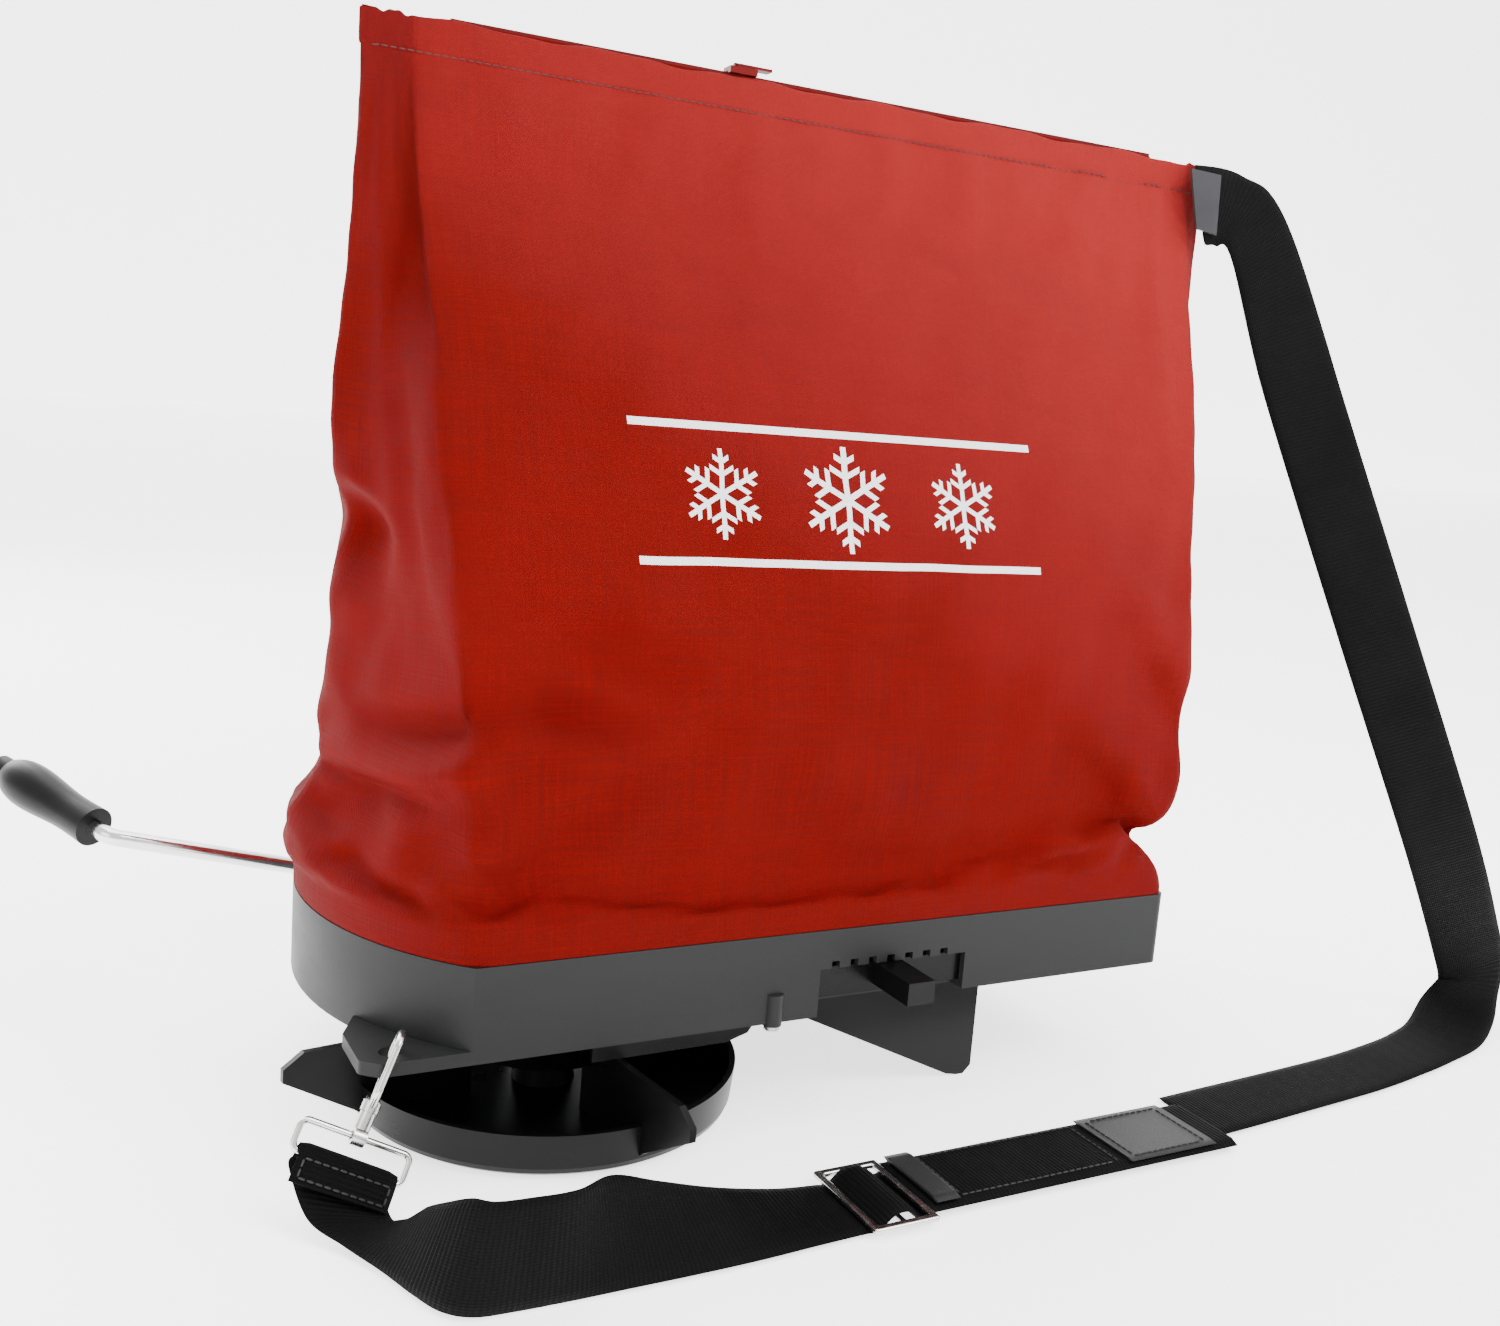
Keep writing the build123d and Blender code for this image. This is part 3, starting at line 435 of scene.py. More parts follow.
# ---------------------------------------------------------------- webbing
def webbing(name, pairs, thickness=None, width=None, ribs=1.0, curl=0.0, row=0.0006):
    """A strap along pairs of edge points in millimetres, with ribs and rounded edges."""
    sizes = settings().sizes
    thickness = thickness or sizes.web_thickness
    width = width or sizes.web_width
    edges = np.stack([smooth_curve([p[k] for p in pairs], 24) for k in (0, 1)], axis=1) * MM
    middle = edges.mean(axis=1)
    length = np.linalg.norm(np.diff(middle, axis=0), axis=1).sum()
    count = max(int(length / row), 4)
    edges, along = resample(edges, count)
    middle = edges.mean(axis=1)
    side = edges[:, 1] - edges[:, 0]
    gap = np.linalg.norm(side, axis=1)
    side /= gap[:, None]
    half_wide = np.minimum(gap, width) / 2
    forward = np.gradient(middle, axis=0)
    normal = np.cross(forward, side)
    normal /= np.linalg.norm(normal, axis=1)[:, None]
    lanes = 12
    across = np.linspace(-1, 1, lanes)
    depth = np.sqrt(np.clip(1 - np.abs(across) ** 14, 0, 1)) * 0.92 + 0.08
    wave = np.sin(math.tau * along / sizes.rib_pitch) * sizes.rib_height * ribs
    rib_share = np.clip((1 - np.abs(across)) * 12, 0, 1)
    sag = curl * across**2
    rows = []
    for face in (1, -1):
        order = slice(None) if face > 0 else slice(None, None, -1)
        lane = across[order]
        rise = face * (depth[order] * thickness / 2) + sag[order]
        push = rise[None, :] + face * wave[:, None] * rib_share[order][None, :]
        rows.append(middle[:, None] + side[:, None] * (lane[None, :] * half_wide[:, None])[:, :, None]
                    + normal[:, None] * push[:, :, None])
    ring = np.concatenate(rows, axis=1)
    around = ring.shape[1]
    points = ring.reshape(-1, 3)
    faces, uvs = [], []
    place = np.concatenate([across, across[::-1]]) * width / 2
    for i in range(count - 1):
        for j in range(around):
            k = (j + 1) % around
            faces.append((i * around + j, i * around + k, (i + 1) * around + k, (i + 1) * around + j))
            uvs += [(place[j], along[i]), (place[k], along[i]),
                    (place[k], along[i + 1]), (place[j], along[i + 1])]
    last = (count - 1) * around
    for j in range(lanes - 1):
        a, b = j, around - 1 - j
        faces.append((a, b, b - 1, a + 1))
        uvs += [(place[a], 0), (place[b], 0), (place[b - 1], 0), (place[a + 1], 0)]
        faces.append((last + a, last + a + 1, last + b - 1, last + b))
        end = along[-1]
        uvs += [(place[a], end), (place[a + 1], end), (place[b - 1], end), (place[b], end)]
    thing = new_object(name, points, faces, uvs)
    outward(thing)
    return thing, length


def outward(thing):
    """Turn every face of a closed mesh outwards."""
    clear_selection()
    thing.select_set(True)
    bpy.context.view_layer.objects.active = thing
    bpy.ops.object.mode_set(mode="EDIT")
    bpy.ops.mesh.select_all(action="SELECT")
    bpy.ops.mesh.normals_make_consistent(inside=False)
    bpy.ops.object.mode_set(mode="OBJECT")


BAR_MIDDLE = Vector((-105.94, -79.38, 19.44))      # lower bar of the hook's wire loop
BAR_WAY = Vector((0.888, -0.137, -0.439))
BAR_DOWN = Vector((-0.452, -0.431, -0.781))
BAR_FRONT = Vector((0.082, -0.892, 0.445))


def fold_pairs():
    """Edge points of the webbing's short tail and its turn round the loop's lower bar."""
    pairs = []
    for out, down in ((3.4, 11), (3.5, 6.5), (3.2, 1.5), (1.4, -2.6), (-1.6, -2.2), (-2.8, 1.5), (-2.6, 6)):
        middle = BAR_MIDDLE + BAR_FRONT * out + BAR_DOWN * down
        pairs.append((tuple(middle - BAR_WAY * 19.5), tuple(middle + BAR_WAY * 19.5)))
    return pairs


STRAP_FRONT = [
    ((-122, -90, 8), (-91, -92, 2.2)),
    ((-112, -104, 3), (-88, -106, 10)), ((-103, -122, 1.5), (-89, -124, 24)),
    ((-97, -138, 1.2), (-86, -140, 34)), ((-91, -151, 1.2), (-81, -149, 39)),
    ((-82, -158, 1.2), (-75, -154.5, 39.5)), ((-68, -160, 1.2), (-64, -157, 40)),
    ((-48, -161, 1.2), (-47, -157.5, 40)), ((-26, -161.5, 1.2), (-25, -137, 31)),
    ((-2, -162, 1.2), (-2, -128.5, 20)), ((24, -162, 1.2), (23, -125, 11)),
    ((50, -161, 1.2), (50, -122.5, 4)), ((70, -160.5, 1.2), (70, -121.5, 1.2)),
    ((76.2, -160.5, 1.2), (76.2, -121.5, 1.2)), ((83.5, -160.5, 6.3), (83.5, -121.5, 6.3)),
    ((90.5, -160.5, 6.3), (90.5, -121.5, 6.3)), ((97, -160.5, 1.2), (97, -121.5, 1.2)),
    ((101.5, -160.5, 1.2), (101.5, -121.5, 1.2)),
]
RISER_LOW = [
    ((267, -147, 1.2), (267, -107, 1.2)), ((320, -143, 1.2), (322, -104, 1.2)),
    ((382, -138, 1.2), (387, -99.5, 1.2)), ((422, -132, 1.2), (429, -93.5, 1.2)),
    ((448, -127, 1.2), (452, -88, 1.2)),
    ((484, -118, 1.4), (474, -80, 1.4)), ((518, -101, 3), (494, -72, 10)),
    ((538, -88, 12), (502, -74, 20)),
]
# the long run up to the bag: centres of the webbing, and the way its outer edge points
RISER_RUN = [(522, -80, 27), (508, -84, 46), (457, -96, 110), (408, -76, 220), (380, -35, 335)]
RISER_LIE = Vector((0.87, -0.37, 0.32)).normalized()
RISER_HALF_WIDE = 20


def riser_pairs():
    """Edge points of the run, each pair half a width either side of its centre."""
    centres = [Vector(point) for point in RISER_RUN]
    half = RISER_LIE * RISER_HALF_WIDE
    return [(tuple(c + half), tuple(c - half)) for c in centres]


RISER_HIGH = [
    ((375, -14, 422), (345, -9, 400)), ((352, -4, 443), (336, -6, 404)),
    ((322, 0, 444), (329, -6, 405)),
]
STRAP_REST = RISER_LOW + riser_pairs() + RISER_HIGH


class SPREADER_OT_strap(bpy.types.Operator):
    """Make the shoulder strap's webbing, from the hook's loop to the bag's corner"""
    bl_idname = "spreader.strap"
    bl_label = "Shoulder strap"

    def execute(self, context):
        material = webbing_finish("webbing", settings().colours.webbing)
        front, long_front = webbing("strap_front_web", fold_pairs() + STRAP_FRONT)
        dress(front, material, "root", "webbing", "strap_front", "strap_fold")
        rest, long_rest = webbing("strap_long_web", STRAP_REST)
        dress(rest, material, "root", "webbing", "strap_side", "strap_riser")
        print("strap lengths", round(long_front, 3), round(long_rest, 3))
        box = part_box("strap_pad")
        pad = self.layer("strap_pad_web", box[0], box[1], 0.0040, 0.7, material, "strap_pad")
        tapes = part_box("pad_tapes")
        low, high = Vector(tapes[0]), Vector(tapes[1])
        plain = tape_finish("strap_tape", settings().colours.webbing)
        low.z, high.z = box[1][2] + 0.0001, high.z
        roll = self.layer("pad_roll_web", low, (low.x + 0.011, high.y, high.z + 0.0014), 0.0022, 0.2, plain)
        start = (high.x - 0.048, low.y, low.z)
        patch = self.layer("pad_patch_web", start, high, 0.0010, 0.15, plain, "pad_tapes")
        thread = thread_finish("black_thread", (0.012, 0.012, 0.013))
        for name, x0, x1, top in (("pad_stitches", low.x + 0.014, high.x - 0.053, box[1][2] + 0.0001),
                                  ("patch_stitches", high.x - 0.044, high.x - 0.004, high.z + 0.0001)):
            y0, y1 = low.y + 0.004, high.y - 0.004
            corners = [(x0, y0), (x1, y0), (x1, y1), (x0, y1), (x0, y0)]
            sewn = stitches(name, [(x, y, top) for x, y in corners], (0, 0, 1), settings().sizes.stitch_pitch)
            dress(sewn, thread, "root", "webbing")
        tail = []
        for across, down in ((-17, 9), (-17, 2), (17, 2), (17, 9), (-17, 9)):
            spot = BAR_MIDDLE + BAR_FRONT * 4.5 + BAR_DOWN * down + BAR_WAY * across
            tail.append(tuple(spot * MM))
        sewn = stitches("tail_stitches", tail, BAR_FRONT, settings().sizes.stitch_pitch)
        dress(sewn, thread, "root", "webbing")
        return {"FINISHED"}

    def layer(self, name, low, high, thickness, ribs, material, *nodes):
        """A flat length of webbing that fills a box from low to high."""
        z = (high[2] - thickness / 2) / MM
        y0, y1 = (low[1] + 0.0006) / MM, (high[1] - 0.0006) / MM
        runs = np.linspace(low[0], high[0], 6) / MM
        piece, _ = webbing(name, [((x, y0, z), (x, y1, z)) for x in runs], thickness, (y1 - y0) * MM, ribs)
        dress(piece, material, "root", "webbing", *nodes)
        return piece


def stitches(name, corners, out, pitch, radius=0.00034):
    """A row of separate sewn stitches along a line of points."""
    out = np.array(out, dtype=float)
    points, faces = [], []
    for start, stop in zip(corners, corners[1:]):
        start, stop = np.array(start, dtype=float), np.array(stop, dtype=float)
        run = np.linalg.norm(stop - start)
        if run < pitch * 0.5:
            continue
        way = (stop - start) / run
        side = np.cross(way, out)
        side /= np.linalg.norm(side)
        up = np.cross(side, way)
        for k in range(max(int(run / pitch), 1)):
            middle = start + way * pitch * (k + 0.5)
            first = len(points)
            for along, size in ((-0.5, 0.35), (-0.32, 0.9), (0.0, 1.0), (0.32, 0.9), (0.5, 0.35)):
                for turn in range(6):
                    angle = turn * math.tau / 6
                    ring = side * math.cos(angle) * 1.25 + up * math.sin(angle)
                    points.append(middle + way * pitch * 0.82 * along + ring * radius * size)
            for ring in range(4):
                for turn in range(6):
                    a, b = first + ring * 6 + turn, first + ring * 6 + (turn + 1) % 6
                    faces.append((a, b, b + 6, a + 6))
            faces.append(tuple(first + turn for turn in reversed(range(6))))
            faces.append(tuple(first + 24 + turn for turn in range(6)))
    sewn = new_object(name, points, faces)
    outward(sewn)
    return sewn


# ---------------------------------------------------------------- bag
TOP_LEFT = Vector((-0.086, 0.042, 0.437))
TOP_RIGHT = Vector((0.338, 0.010, 0.431))
HEM = 0.015
END_SHOULDER = -0.057
SKIRT_TOP = 0.101
BELLY = 0.016
AROUND, UPWARDS = 150, 74

# folds: front (-1) or back (1), start x and z, end x and z, half width and depth, in millimetres
FOLDS = [
    (-1, -92, 168, -50, 194, 6.5, -6.0), (-1, -46, 194, 6, 179, 6.0, -5.0),
    (-1, -88, 155, -48, 180, 7.5, 4.5), (-1, -44, 179, 4, 166, 7.0, 4.0),
    (-1, -94, 152, -74, 154, 4.0, -3.6), (-1, -86, 152, -90, 138, 3.5, -3.2),
    (-1, -80, 146, -84, 116, 6.0, 3.0), (-1, -58, 102, -22, 142, 8.5, -3.6),
    (-1, -22, 142, 30, 166, 10.0, -2.4), (-1, -72, 112, -50, 150, 8.0, 2.8),
    (-1, -84, 264, -82, 230, 6.0, -6.0), (-1, -96, 262, -94, 236, 5.0, -3.0),
    (-1, -72, 236, -44, 214, 9.0, 3.0), (-1, -18, 220, 34, 196, 10.0, -3.0),
    (-1, -30, 240, 50, 214, 12.0, 2.6), (-1, -70, 330, -66, 280, 8.0, 2.6),
    (-1, -74, 420, -66, 330, 7.0, -2.6), (-1, -50, 360, 60, 330, 16.0, 2.4),
    (-1, 0, 396, 120, 352, 17.0, -2.4), (-1, 120, 392, 250, 366, 15.0, 2.4),
    (-1, 210, 350, 300, 300, 18.0, -3.2), (-1, 236, 262, 306, 200, 13.0, 3.6),
    (-1, 262, 226, 300, 172, 9.0, -4.2), (-1, 232, 180, 292, 134, 10.0, 4.0),
    (-1, 252, 140, 296, 118, 7.0, -4.4), (-1, 60, 176, 150, 150, 16.0, 2.6),
    (-1, 120, 210, 220, 188, 15.0, -2.6), (-1, 70, 124, 190, 116, 8.0, -2.0),
    (-1, -40, 108, 60, 104, 5.0, 2.0), (-1, 304, 390, 300, 300, 8.0, 3.0),
    (1, -60, 240, 30, 190, 12.0, 4.5), (1, -50, 180, 60, 150, 11.0, -4.0),
    (1, -80, 330, 0, 260, 12.0, -3.5), (1, 0, 340, 140, 300, 16.0, 3.0),
    (1, 60, 120, 220, 112, 9.0, -2.5), (1, 120, 170, 250, 210, 13.0, 4.0),
    (1, 150, 260, 260, 160, 11.0, -3.4), (1, 200, 300, 300, 220, 14.0, -3.4),
    (1, 210, 240, 296, 150, 10.0, 4.0), (1, -20, 404, 120, 380, 12.0, -2.4),
]


def ease(value, low, high):
    """0 below low, 1 above high, and a smooth rise between."""
    t = np.clip((value - low) / (high - low), 0, 1)
    return t * t * (3 - 2 * t)


def tray_outline(count):
    """Half the tray's outline from the round end's middle to the flat end's middle."""
    low, high = Vector(TRAY_BOX[0]), Vector(TRAY_BOX[1])
    left = -0.102
    half, middle = (0.135 + 0.070) / 2, (0.135 - 0.070) / 2
    sag = END_SHOULDER - left
    radius = (half**2 + sag**2) / (2 * sag)
    centre = left + radius
    turn = math.atan2(half, centre - END_SHOULDER)
    arc, straight = radius * turn, high.x - END_SHOULDER
    total = arc + straight + half
    share = np.linspace(0, 1, count)
    run = share * total
    on_arc, on_end = run < arc, run > arc + straight
    angle = run / radius
    x = np.where(on_arc, centre - radius * np.cos(angle), END_SHOULDER + run - arc)
    y = np.where(on_arc, radius * np.sin(angle), half)
    x = np.where(on_end, high.x, x)
    y = np.where(on_end, total - run, y)
    return share, x, y, middle


def bag_surface():
    """Points of the bag's outer face: rows from the skirt up, over the hem and down inside."""
    half_count = AROUND // 2 + 1
    share, x0, y0, middle = tray_outline(half_count)
    side = np.concatenate([-np.ones(half_count), np.ones(half_count - 2)])
    share = np.concatenate([share, share[-2:0:-1]])
    x0 = np.concatenate([x0, x0[-2:0:-1]])
    y0 = middle + side * np.concatenate([y0, y0[-2:0:-1]])
    half_top = 0.0044 * np.clip(np.minimum(share, 1 - share) * 16, 0, 1)
    top_share = np.interp(share, (0.0, 0.203, 0.82, 1.0), (0.0, 0.05, 0.965, 1.0))
    x1 = TOP_LEFT.x + (TOP_RIGHT.x - TOP_LEFT.x) * top_share
    y1 = TOP_LEFT.y + (TOP_RIGHT.y - TOP_LEFT.y) * top_share
    z1 = TOP_LEFT.z + (TOP_RIGHT.z - TOP_LEFT.z) * top_share
    rightness = ease(share, 0.3, 0.7)
    rows = []
    for z in np.linspace(0.0868, SKIRT_TOP, 5)[:-1]:
        rows.append(np.stack([x0, y0, np.full_like(x0, z)], axis=1))
    for lift in np.linspace(0, 1, UPWARDS):
        close = lift**1.25
        gather = ease(lift, 0, 0.3) * (1 - rightness) + min(lift / 0.7, 1.0) * rightness
        bulge = BELLY * math.sin(math.pi * min(lift * 1.15, 1.0))
        belly = side * bulge * np.clip(np.minimum(share, 1 - share) * 3, 0, 1)
        x = x0 + (x1 - x0) * gather
        y = y0 + (y1 + side * half_top - y0) * close + belly
        rows.append(np.stack([x, y, SKIRT_TOP + (z1 - SKIRT_TOP) * lift], axis=1))
    top = rows[-1]
    for rise in (0.005, 0.010, 0.0138):
        rows.append(top + [0, 0, rise])
    fold = np.minimum(0.0026, 0.6 * half_top)
    for rise, inwards in ((0.0148, 0.25), (0.0151, 0.5), (0.0148, 0.75),
                          (0.0136, 1.0), (0.008, 1.0), (0.0, 1.0)):
        rows.append(top + np.stack([0 * fold, -side * fold * inwards, np.full_like(fold, rise)], axis=1))
    return np.array(rows), side, share


def fold_push(x, z, side):
    """How far the listed folds push a point outwards, in metres."""
    push = np.zeros_like(x)
    for face, ax, az, bx, bz, wide, deep in FOLDS:
        start, stop = np.array([ax, az]) * MM, np.array([bx, bz]) * MM
        way = stop - start
        reach = way @ way
        t = ((x - start[0]) * way[0] + (z - start[1]) * way[1]) / reach
        bent = np.clip(t, 0, 1)
        off_x, off_z = x - start[0] - bent * way[0], z - start[1] - bent * way[1]
        away = np.sqrt(off_x**2 + off_z**2) / (wide * MM)
        taper = np.sin(np.pi * np.clip(0.12 + 0.76 * t, 0, 1))
        push += np.where(side == face, deep * MM * np.exp(-away**2) * taper, 0)
    return push


def bag_grid():
    rows, side, share = bag_surface()
    count_rows, around = rows.shape[:2]
    sides = np.broadcast_to(side, (count_rows, around))
    x, y, z = rows[..., 0], rows[..., 1], rows[..., 2]
    lift = np.clip((z - 0.1) / 0.33, 0, 1)
    hold = np.clip((z - 0.101) / 0.02, 0, 1) * np.clip((0.436 - z) / 0.03, 0, 1)
    depth = settings().sizes.fold_depth
    push = fold_push(x, z, sides) * hold * depth
    ripple = (0.0011 * np.sin(x * 95 + z * 31 + 2.0) * np.sin(z * 47 - x * 23)
              + 0.0007 * np.sin(x * 171 - z * 88) + 0.0005 * np.sin(z * 260 + x * 61))
    push = push + ripple * hold
    tangent = np.roll(rows, -1, axis=1) - np.roll(rows, 1, axis=1)
    out = np.stack([tangent[..., 1], -tangent[..., 0], np.zeros_like(x)], axis=2)
    out /= np.linalg.norm(out, axis=2)[..., None] + 1e-9
    rows = rows + out * push[..., None]
    corner = np.exp(-((share - 0.84) / 0.05) ** 2)
    rows[..., 0] -= 0.013 * corner * np.exp(-((z - 0.119) / 0.016) ** 2) * depth
    rows[..., 0] += 0.006 * np.exp(-(share / 0.08) ** 2) * np.exp(-((z - 0.251) / 0.016) ** 2) * depth
    wave = 0.0008 * np.sin(share * 60 + 0.4) + 0.0006 * np.sin(share * 143)
    rows[-9:, :, 2] += (wave - 0.0010) * np.clip(np.minimum(share, 1 - share) * 12, 0, 1)
    return rows


class SPREADER_OT_bag(bpy.types.Operator):
    """Make the bag's cloth, from its skirt on the tray to its folded hem"""
    bl_idname = "spreader.bag"
    bl_label = "Bag"

    def execute(self, context):
        rows = bag_grid()
        count, around = rows.shape[:2]
        points = rows.reshape(-1, 3)
        steps = np.linalg.norm(np.roll(rows[4], -1, axis=0) - rows[4], axis=1)
        run = np.concatenate([[0], np.cumsum(steps)])
        rise = np.concatenate([[0], np.cumsum(np.linalg.norm(np.diff(rows[:, around // 4], axis=0), axis=1))])
        faces, uvs = [], []
        for i in range(count - 1):
            for j in range(around):
                k = (j + 1) % around
                faces.append((i * around + j, i * around + k, (i + 1) * around + k, (i + 1) * around + j))
                uvs += [(run[j], rise[i]), (run[j + 1], rise[i]),
                        (run[j + 1], rise[i + 1]), (run[j], rise[i + 1])]
        bag = new_object("bag_cloth", points, faces, uvs)
        settle_cloth(bag, settings().sizes.settle_frames)
        self.sew_hem(np.array([v.co[:] for v in bag.data.vertices]).reshape(count, around, 3))
        wall = bag.modifiers.new("wall", "SOLIDIFY")
        wall.thickness = settings().sizes.cloth_thickness
        wall.offset = -1
        finer = bag.modifiers.new("finer", "SUBSURF")
        finer.levels = finer.render_levels = 1
        apply_modifiers(bag)
        material = cloth_finish("bag_cloth", tuple(settings().colours.bag), snow_emblem)
        dress(bag, material, "root", "bag_fabric", "bag_shell")
        return {"FINISHED"}

    def sew_hem(self, grid):
        """Stitches 16 mm below the top edge, on the front and on the back."""
        heights = grid[:, :, 2].mean(axis=1)
        drop = np.where(np.arange(len(heights)) <= heights.argmax(), heights.max() - heights, 1.0)
        row = int(np.argmin(np.abs(drop - settings().sizes.hem_height)))
        pitch = settings().sizes.stitch_pitch
        around = grid.shape[1]
        half = around // 2
        thread = thread_finish("red_thread", tuple(c * 0.55 for c in settings().colours.bag))
        for name, first, last in (("hem_stitches_front", 3, half - 3),
                                  ("hem_stitches_back", half + 3, around - 3)):
            line = grid[row, first:last]
            normal = np.cross(line[-1] - line[0], (0, 0, 1))
            normal /= np.linalg.norm(normal)
            centre = grid[row].mean(axis=0)
            if np.dot(normal, line[len(line) // 2] - centre) < 0:
                normal = -normal
            count = int(np.linalg.norm(line[-1] - line[0]) / pitch)
            path, _ = resample(np.stack([line, line], axis=1), count)
            spots = path[:, 0] + normal * 0.0003
            dress(stitches(name, spots, normal, pitch), thread, "root", "bag_fabric")


def settle_cloth(thing, frames):
    """Let the cloth slacken and buckle a little, then keep the result within a few millimetres."""
    before = np.array([v.co[:] for v in thing.data.vertices])
    held = thing.vertex_groups.new(name="held")
    for index, place in enumerate(before):
        grip = 1.0 if place[2] < 0.104 or place[2] > 0.4325 else 0.0
        if grip:
            held.add([index], grip, "REPLACE")
    cloth = thing.modifiers.new("cloth", "CLOTH")
    rules = cloth.settings
    rules.quality = 6
    rules.mass = 0.25
    rules.tension_stiffness = rules.compression_stiffness = 30
    rules.shear_stiffness = 20
    rules.bending_stiffness = 0.6
    rules.air_damping = 4
    rules.vertex_group_mass = "held"
    rules.shrink_min = -0.035
    rules.use_pressure = True
    rules.uniform_pressure_force = 0.35
    rules.effector_weights.gravity = 0.4
    cloth.point_cache.frame_start = 1
    cloth.point_cache.frame_end = frames
    scene = bpy.context.scene
    for step in range(1, frames + 1):
        scene.frame_set(step)
    apply_modifiers(thing)
    after = np.array([v.co[:] for v in thing.data.vertices])
    move = after - before
    far = np.linalg.norm(move, axis=1)
    print("cloth moved at most", round(float(far.max()) * 1000, 2), "mm")
    limit = 0.009
    scale = np.where(far > limit, limit / np.maximum(far, 1e-9), 1.0)
    for vertex, place in zip(thing.data.vertices, before + move * scale[:, None]):
        vertex.co = place
    thing.vertex_groups.clear()
    scene.frame_set(1)


# ---------------------------------------------------------------- finishes of the frame's own parts
class SPREADER_OT_mouldings(bpy.types.Operator):
    """Give the tray, impeller, legs, gate, grip and gears their plastics"""
    bl_idname = "spreader.mouldings"
    bl_label = "Mouldings"

    def execute(self, context):
        colours = settings().colours
        tray = moulded_finish("tray_plastic", tuple(colours.tray), 0.46, 0.00007)
        black = moulded_finish("black_plastic", tuple(colours.plastic), 0.3, 0.00003, 2.5)
        grip = moulded_finish("grip_plastic", tuple(c * 1.3 for c in colours.plastic), 0.34, 0.00008, 2.0)
        nylon = moulded_finish("nylon", (0.6, 0.58, 0.52), 0.4)
        red = moulded_finish("zip_plastic", (0.09, 0.0003, 0.0002), 0.45)
        dress_nodes(tray, "tray", "gear_cover", "gate_rail")
        dress_nodes(black, "front_deflector", "impeller", "leg_near", "leg_far", "gate_slide",
                    "gear_shroud", "rear_hanger", "rim_bead")
        dress_nodes(grip, "crank_grip", "grip_cap")
        dress_nodes(nylon, "crown_gear", "impeller_pinion", "impeller_bush",
                    "crank_bush_front", "crank_bush_rear")
        dress_nodes(red, "zip_teeth", "zip_slider", "zip_pull")
        dress_nodes(moulded_finish("patch_vinyl", (0.03, 0.03, 0.033), 0.16), "corner_patch")
        dress_nodes(cloth_finish("zip_tape", tuple(colours.bag)), "zip_tape_front", "zip_tape_back")
        return {"FINISHED"}


class SPREADER_OT_metalware(bpy.types.Operator):
    """Give the rod, hook, buckle, shaft and screws their metals"""
    bl_idname = "spreader.metalware"
    bl_label = "Metalware"

    def execute(self, context):
        wire = plated_finish("chrome_wire", (0.62, 0.61, 0.6), 0.2)
        rod = plated_finish("chrome_rod", (0.75, 0.75, 0.76), 0.14, (1, 6, 6))
        zinc = plated_finish("zinc_steel", (0.5, 0.5, 0.5), 0.34)
        dress_nodes(wire, "snap_hook", "snap_gate", "hook_swivel", "strap_loop", "strap_buckle")
        dress_nodes(rod, "crank_rod")
        dress_nodes(zinc, "impeller_shaft", "hub_pin", "shaft_clip", "agitator", "crank_pin",
                    "crank_collar", "gate_pin",
                    "cover_screws", "hanger_screws", "leg_screws", "boss_screw")
        return {"FINISHED"}


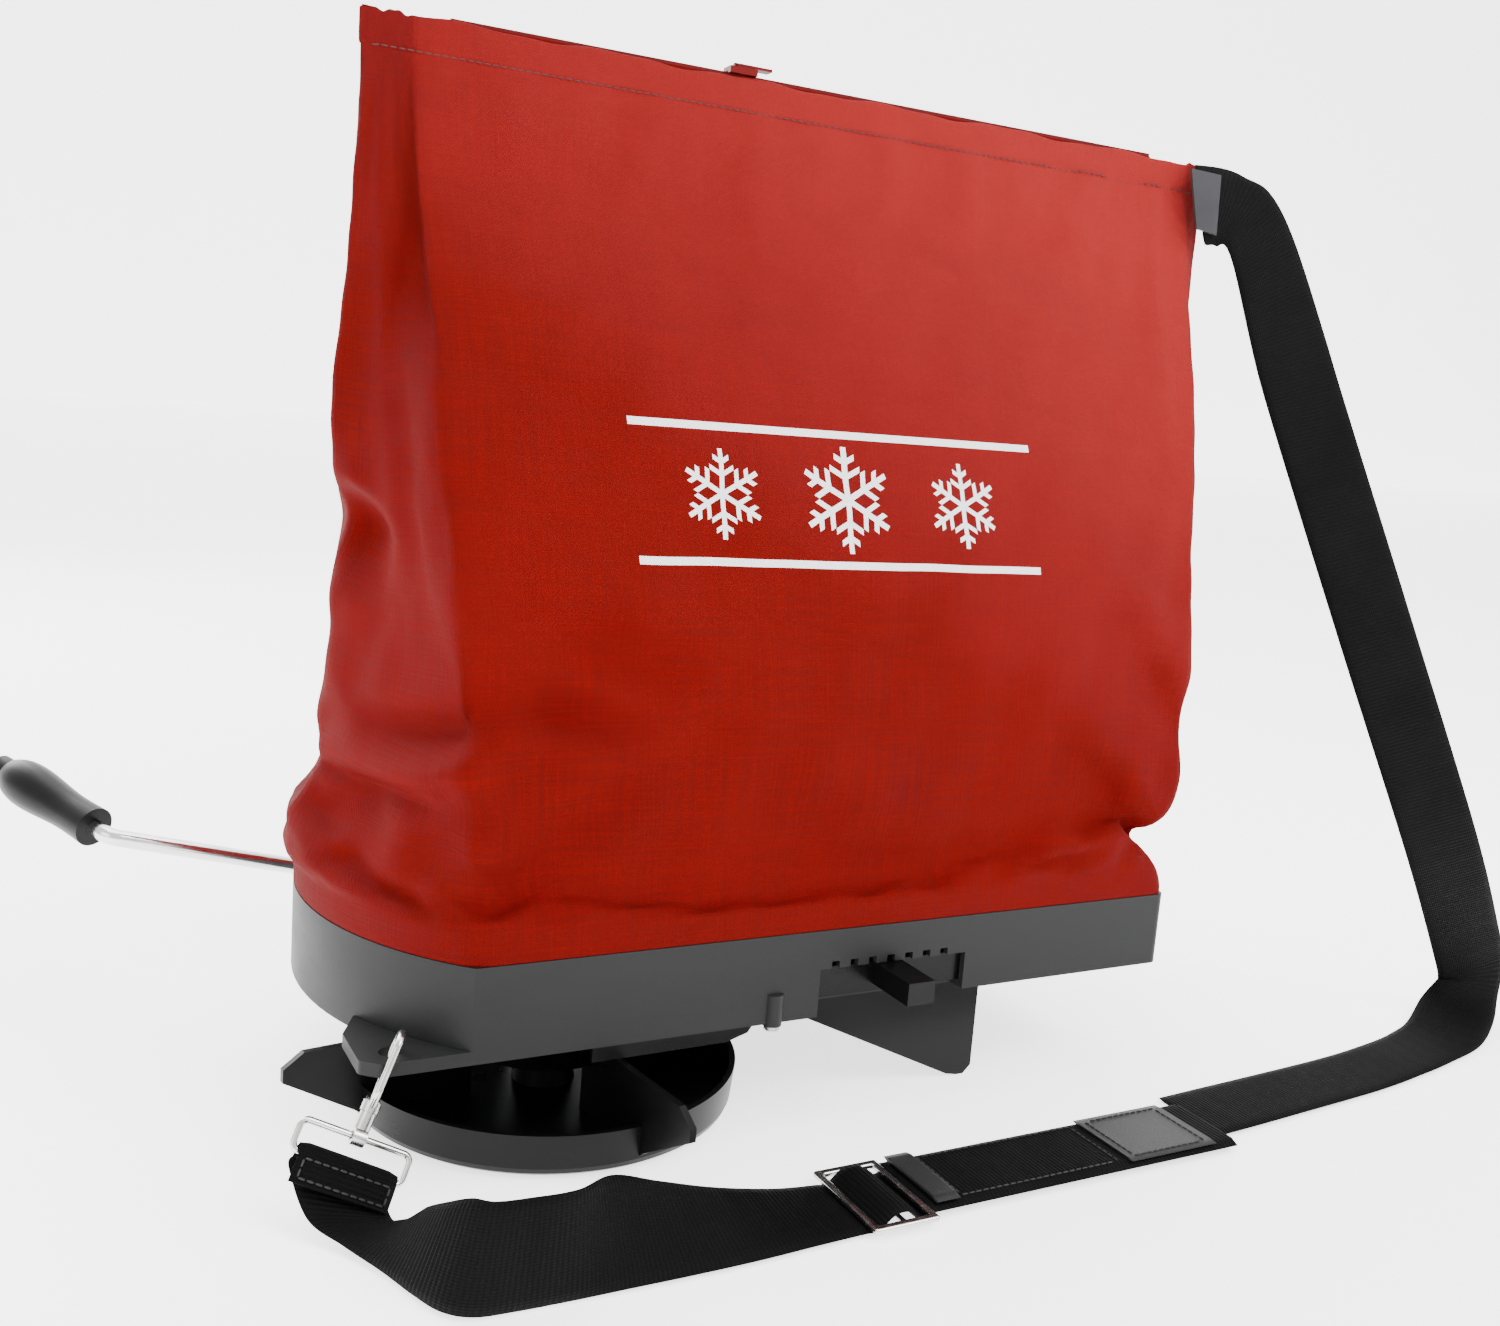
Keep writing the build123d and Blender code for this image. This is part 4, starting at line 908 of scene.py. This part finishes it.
# ---------------------------------------------------------------- stage
class SPREADER_OT_stage(bpy.types.Operator):
    """Set the camera, the pale floor and the soft studio lights"""
    bl_idname = "spreader.stage"
    bl_label = "Stage"

    def execute(self, context):
        camera = bpy.data.cameras.new("camera")
        camera.lens, camera.sensor_width, camera.sensor_fit = 36.0, 36.0, "HORIZONTAL"
        camera.clip_start, camera.clip_end = 0.01, 50.0
        eye = bpy.data.objects.new("camera", camera)
        bpy.context.collection.objects.link(eye)
        right = Vector((0.881443, -0.466363, 0.074593))
        down = Vector((-0.009465, -0.175351, -0.984461))
        ahead = Vector((0.472196, 0.867040, -0.158976))
        turn = Matrix((right, -down, -ahead)).transposed()
        eye.matrix_world = Matrix.Translation((-0.23354, -0.59328, 0.30031)) @ turn.to_4x4()
        bpy.context.scene.camera = eye
        clear_selection()
        bpy.ops.mesh.primitive_plane_add(size=60, location=(0.1, 1.0, -0.0005))
        floor = bpy.context.active_object
        floor.name = "floor"
        pale = Finish("pale_floor")
        grain = pale.noise(pale.position(), 3.0, 4.0)
        floor.data.materials.append(pale.finish(
            Base_Color=pale.blend(grain, (0.88, 0.88, 0.88), (0.93, 0.93, 0.93)), Roughness=0.7,
            Emission_Color=(1.0, 1.0, 1.0), Emission_Strength=2.0))
        clear_selection()
        bpy.ops.mesh.primitive_plane_add(size=60, location=(0.1, 20, 20), rotation=(math.pi / 2, 0, 0))
        wall = bpy.context.active_object
        wall.name = "backdrop"
        wall.data.materials.append(floor.data.materials[0])
        world = bpy.data.worlds.new("studio")
        world.use_nodes = True
        sky = world.node_tree.nodes["Background"]
        sky.inputs[0].default_value = (1, 1, 1, 1)
        sky.inputs[1].default_value = 1.7
        bpy.context.scene.world = world
        lights = [("key", (1.1, -1.3, 1.7), 1.0, 45), ("fill", (-1.5, -0.9, 0.9), 1.2, 10),
                  ("top", (0.1, 0.3, 2.0), 1.4, 30), ("back", (-0.6, 1.6, 1.1), 1.0, 30)]
        for name, place, size, power in lights:
            lamp = bpy.data.lights.new(name, "AREA")
            lamp.size, lamp.energy = size, power
            holder = bpy.data.objects.new(name, lamp)
            holder.location = place
            aim = Vector((0.1, 0.0, 0.2)) - Vector(place)
            holder.rotation_euler = aim.to_track_quat("-Z", "Y").to_euler()
            bpy.context.collection.objects.link(holder)
        return {"FINISHED"}


# ---------------------------------------------------------------- add-on
class SpreaderSettings(bpy.types.PropertyGroup):
    sizes: PointerProperty(type=SpreaderSizes)
    colours: PointerProperty(type=SpreaderColours)


OPERATORS = [SPREADER_OT_stage, SPREADER_OT_mouldings, SPREADER_OT_metalware,
             SPREADER_OT_bag, SPREADER_OT_strap]


class SPREADER_PT_panel(bpy.types.Panel):
    """Lists the steps that dress the spreader"""
    bl_idname = "SPREADER_PT_panel"
    bl_label = "Salt spreader"
    bl_space_type = "VIEW_3D"
    bl_region_type = "UI"
    bl_category = "Spreader"

    def draw(self, context):
        for operator in OPERATORS:
            self.layout.operator(operator.bl_idname)


CLASSES = [SpreaderSizes, SpreaderColours, SpreaderSettings, *OPERATORS, SPREADER_PT_panel]


def register():
    for kind in CLASSES:
        bpy.utils.register_class(kind)
    bpy.types.Scene.spreader_settings = PointerProperty(type=SpreaderSettings)


def unregister():
    del bpy.types.Scene.spreader_settings
    for kind in reversed(CLASSES):
        bpy.utils.unregister_class(kind)


def main():
    register()
    for operator in OPERATORS:
        group, name = operator.bl_idname.split(".")
        getattr(getattr(bpy.ops, group), name)()


if __name__ == "__main__":
    main()
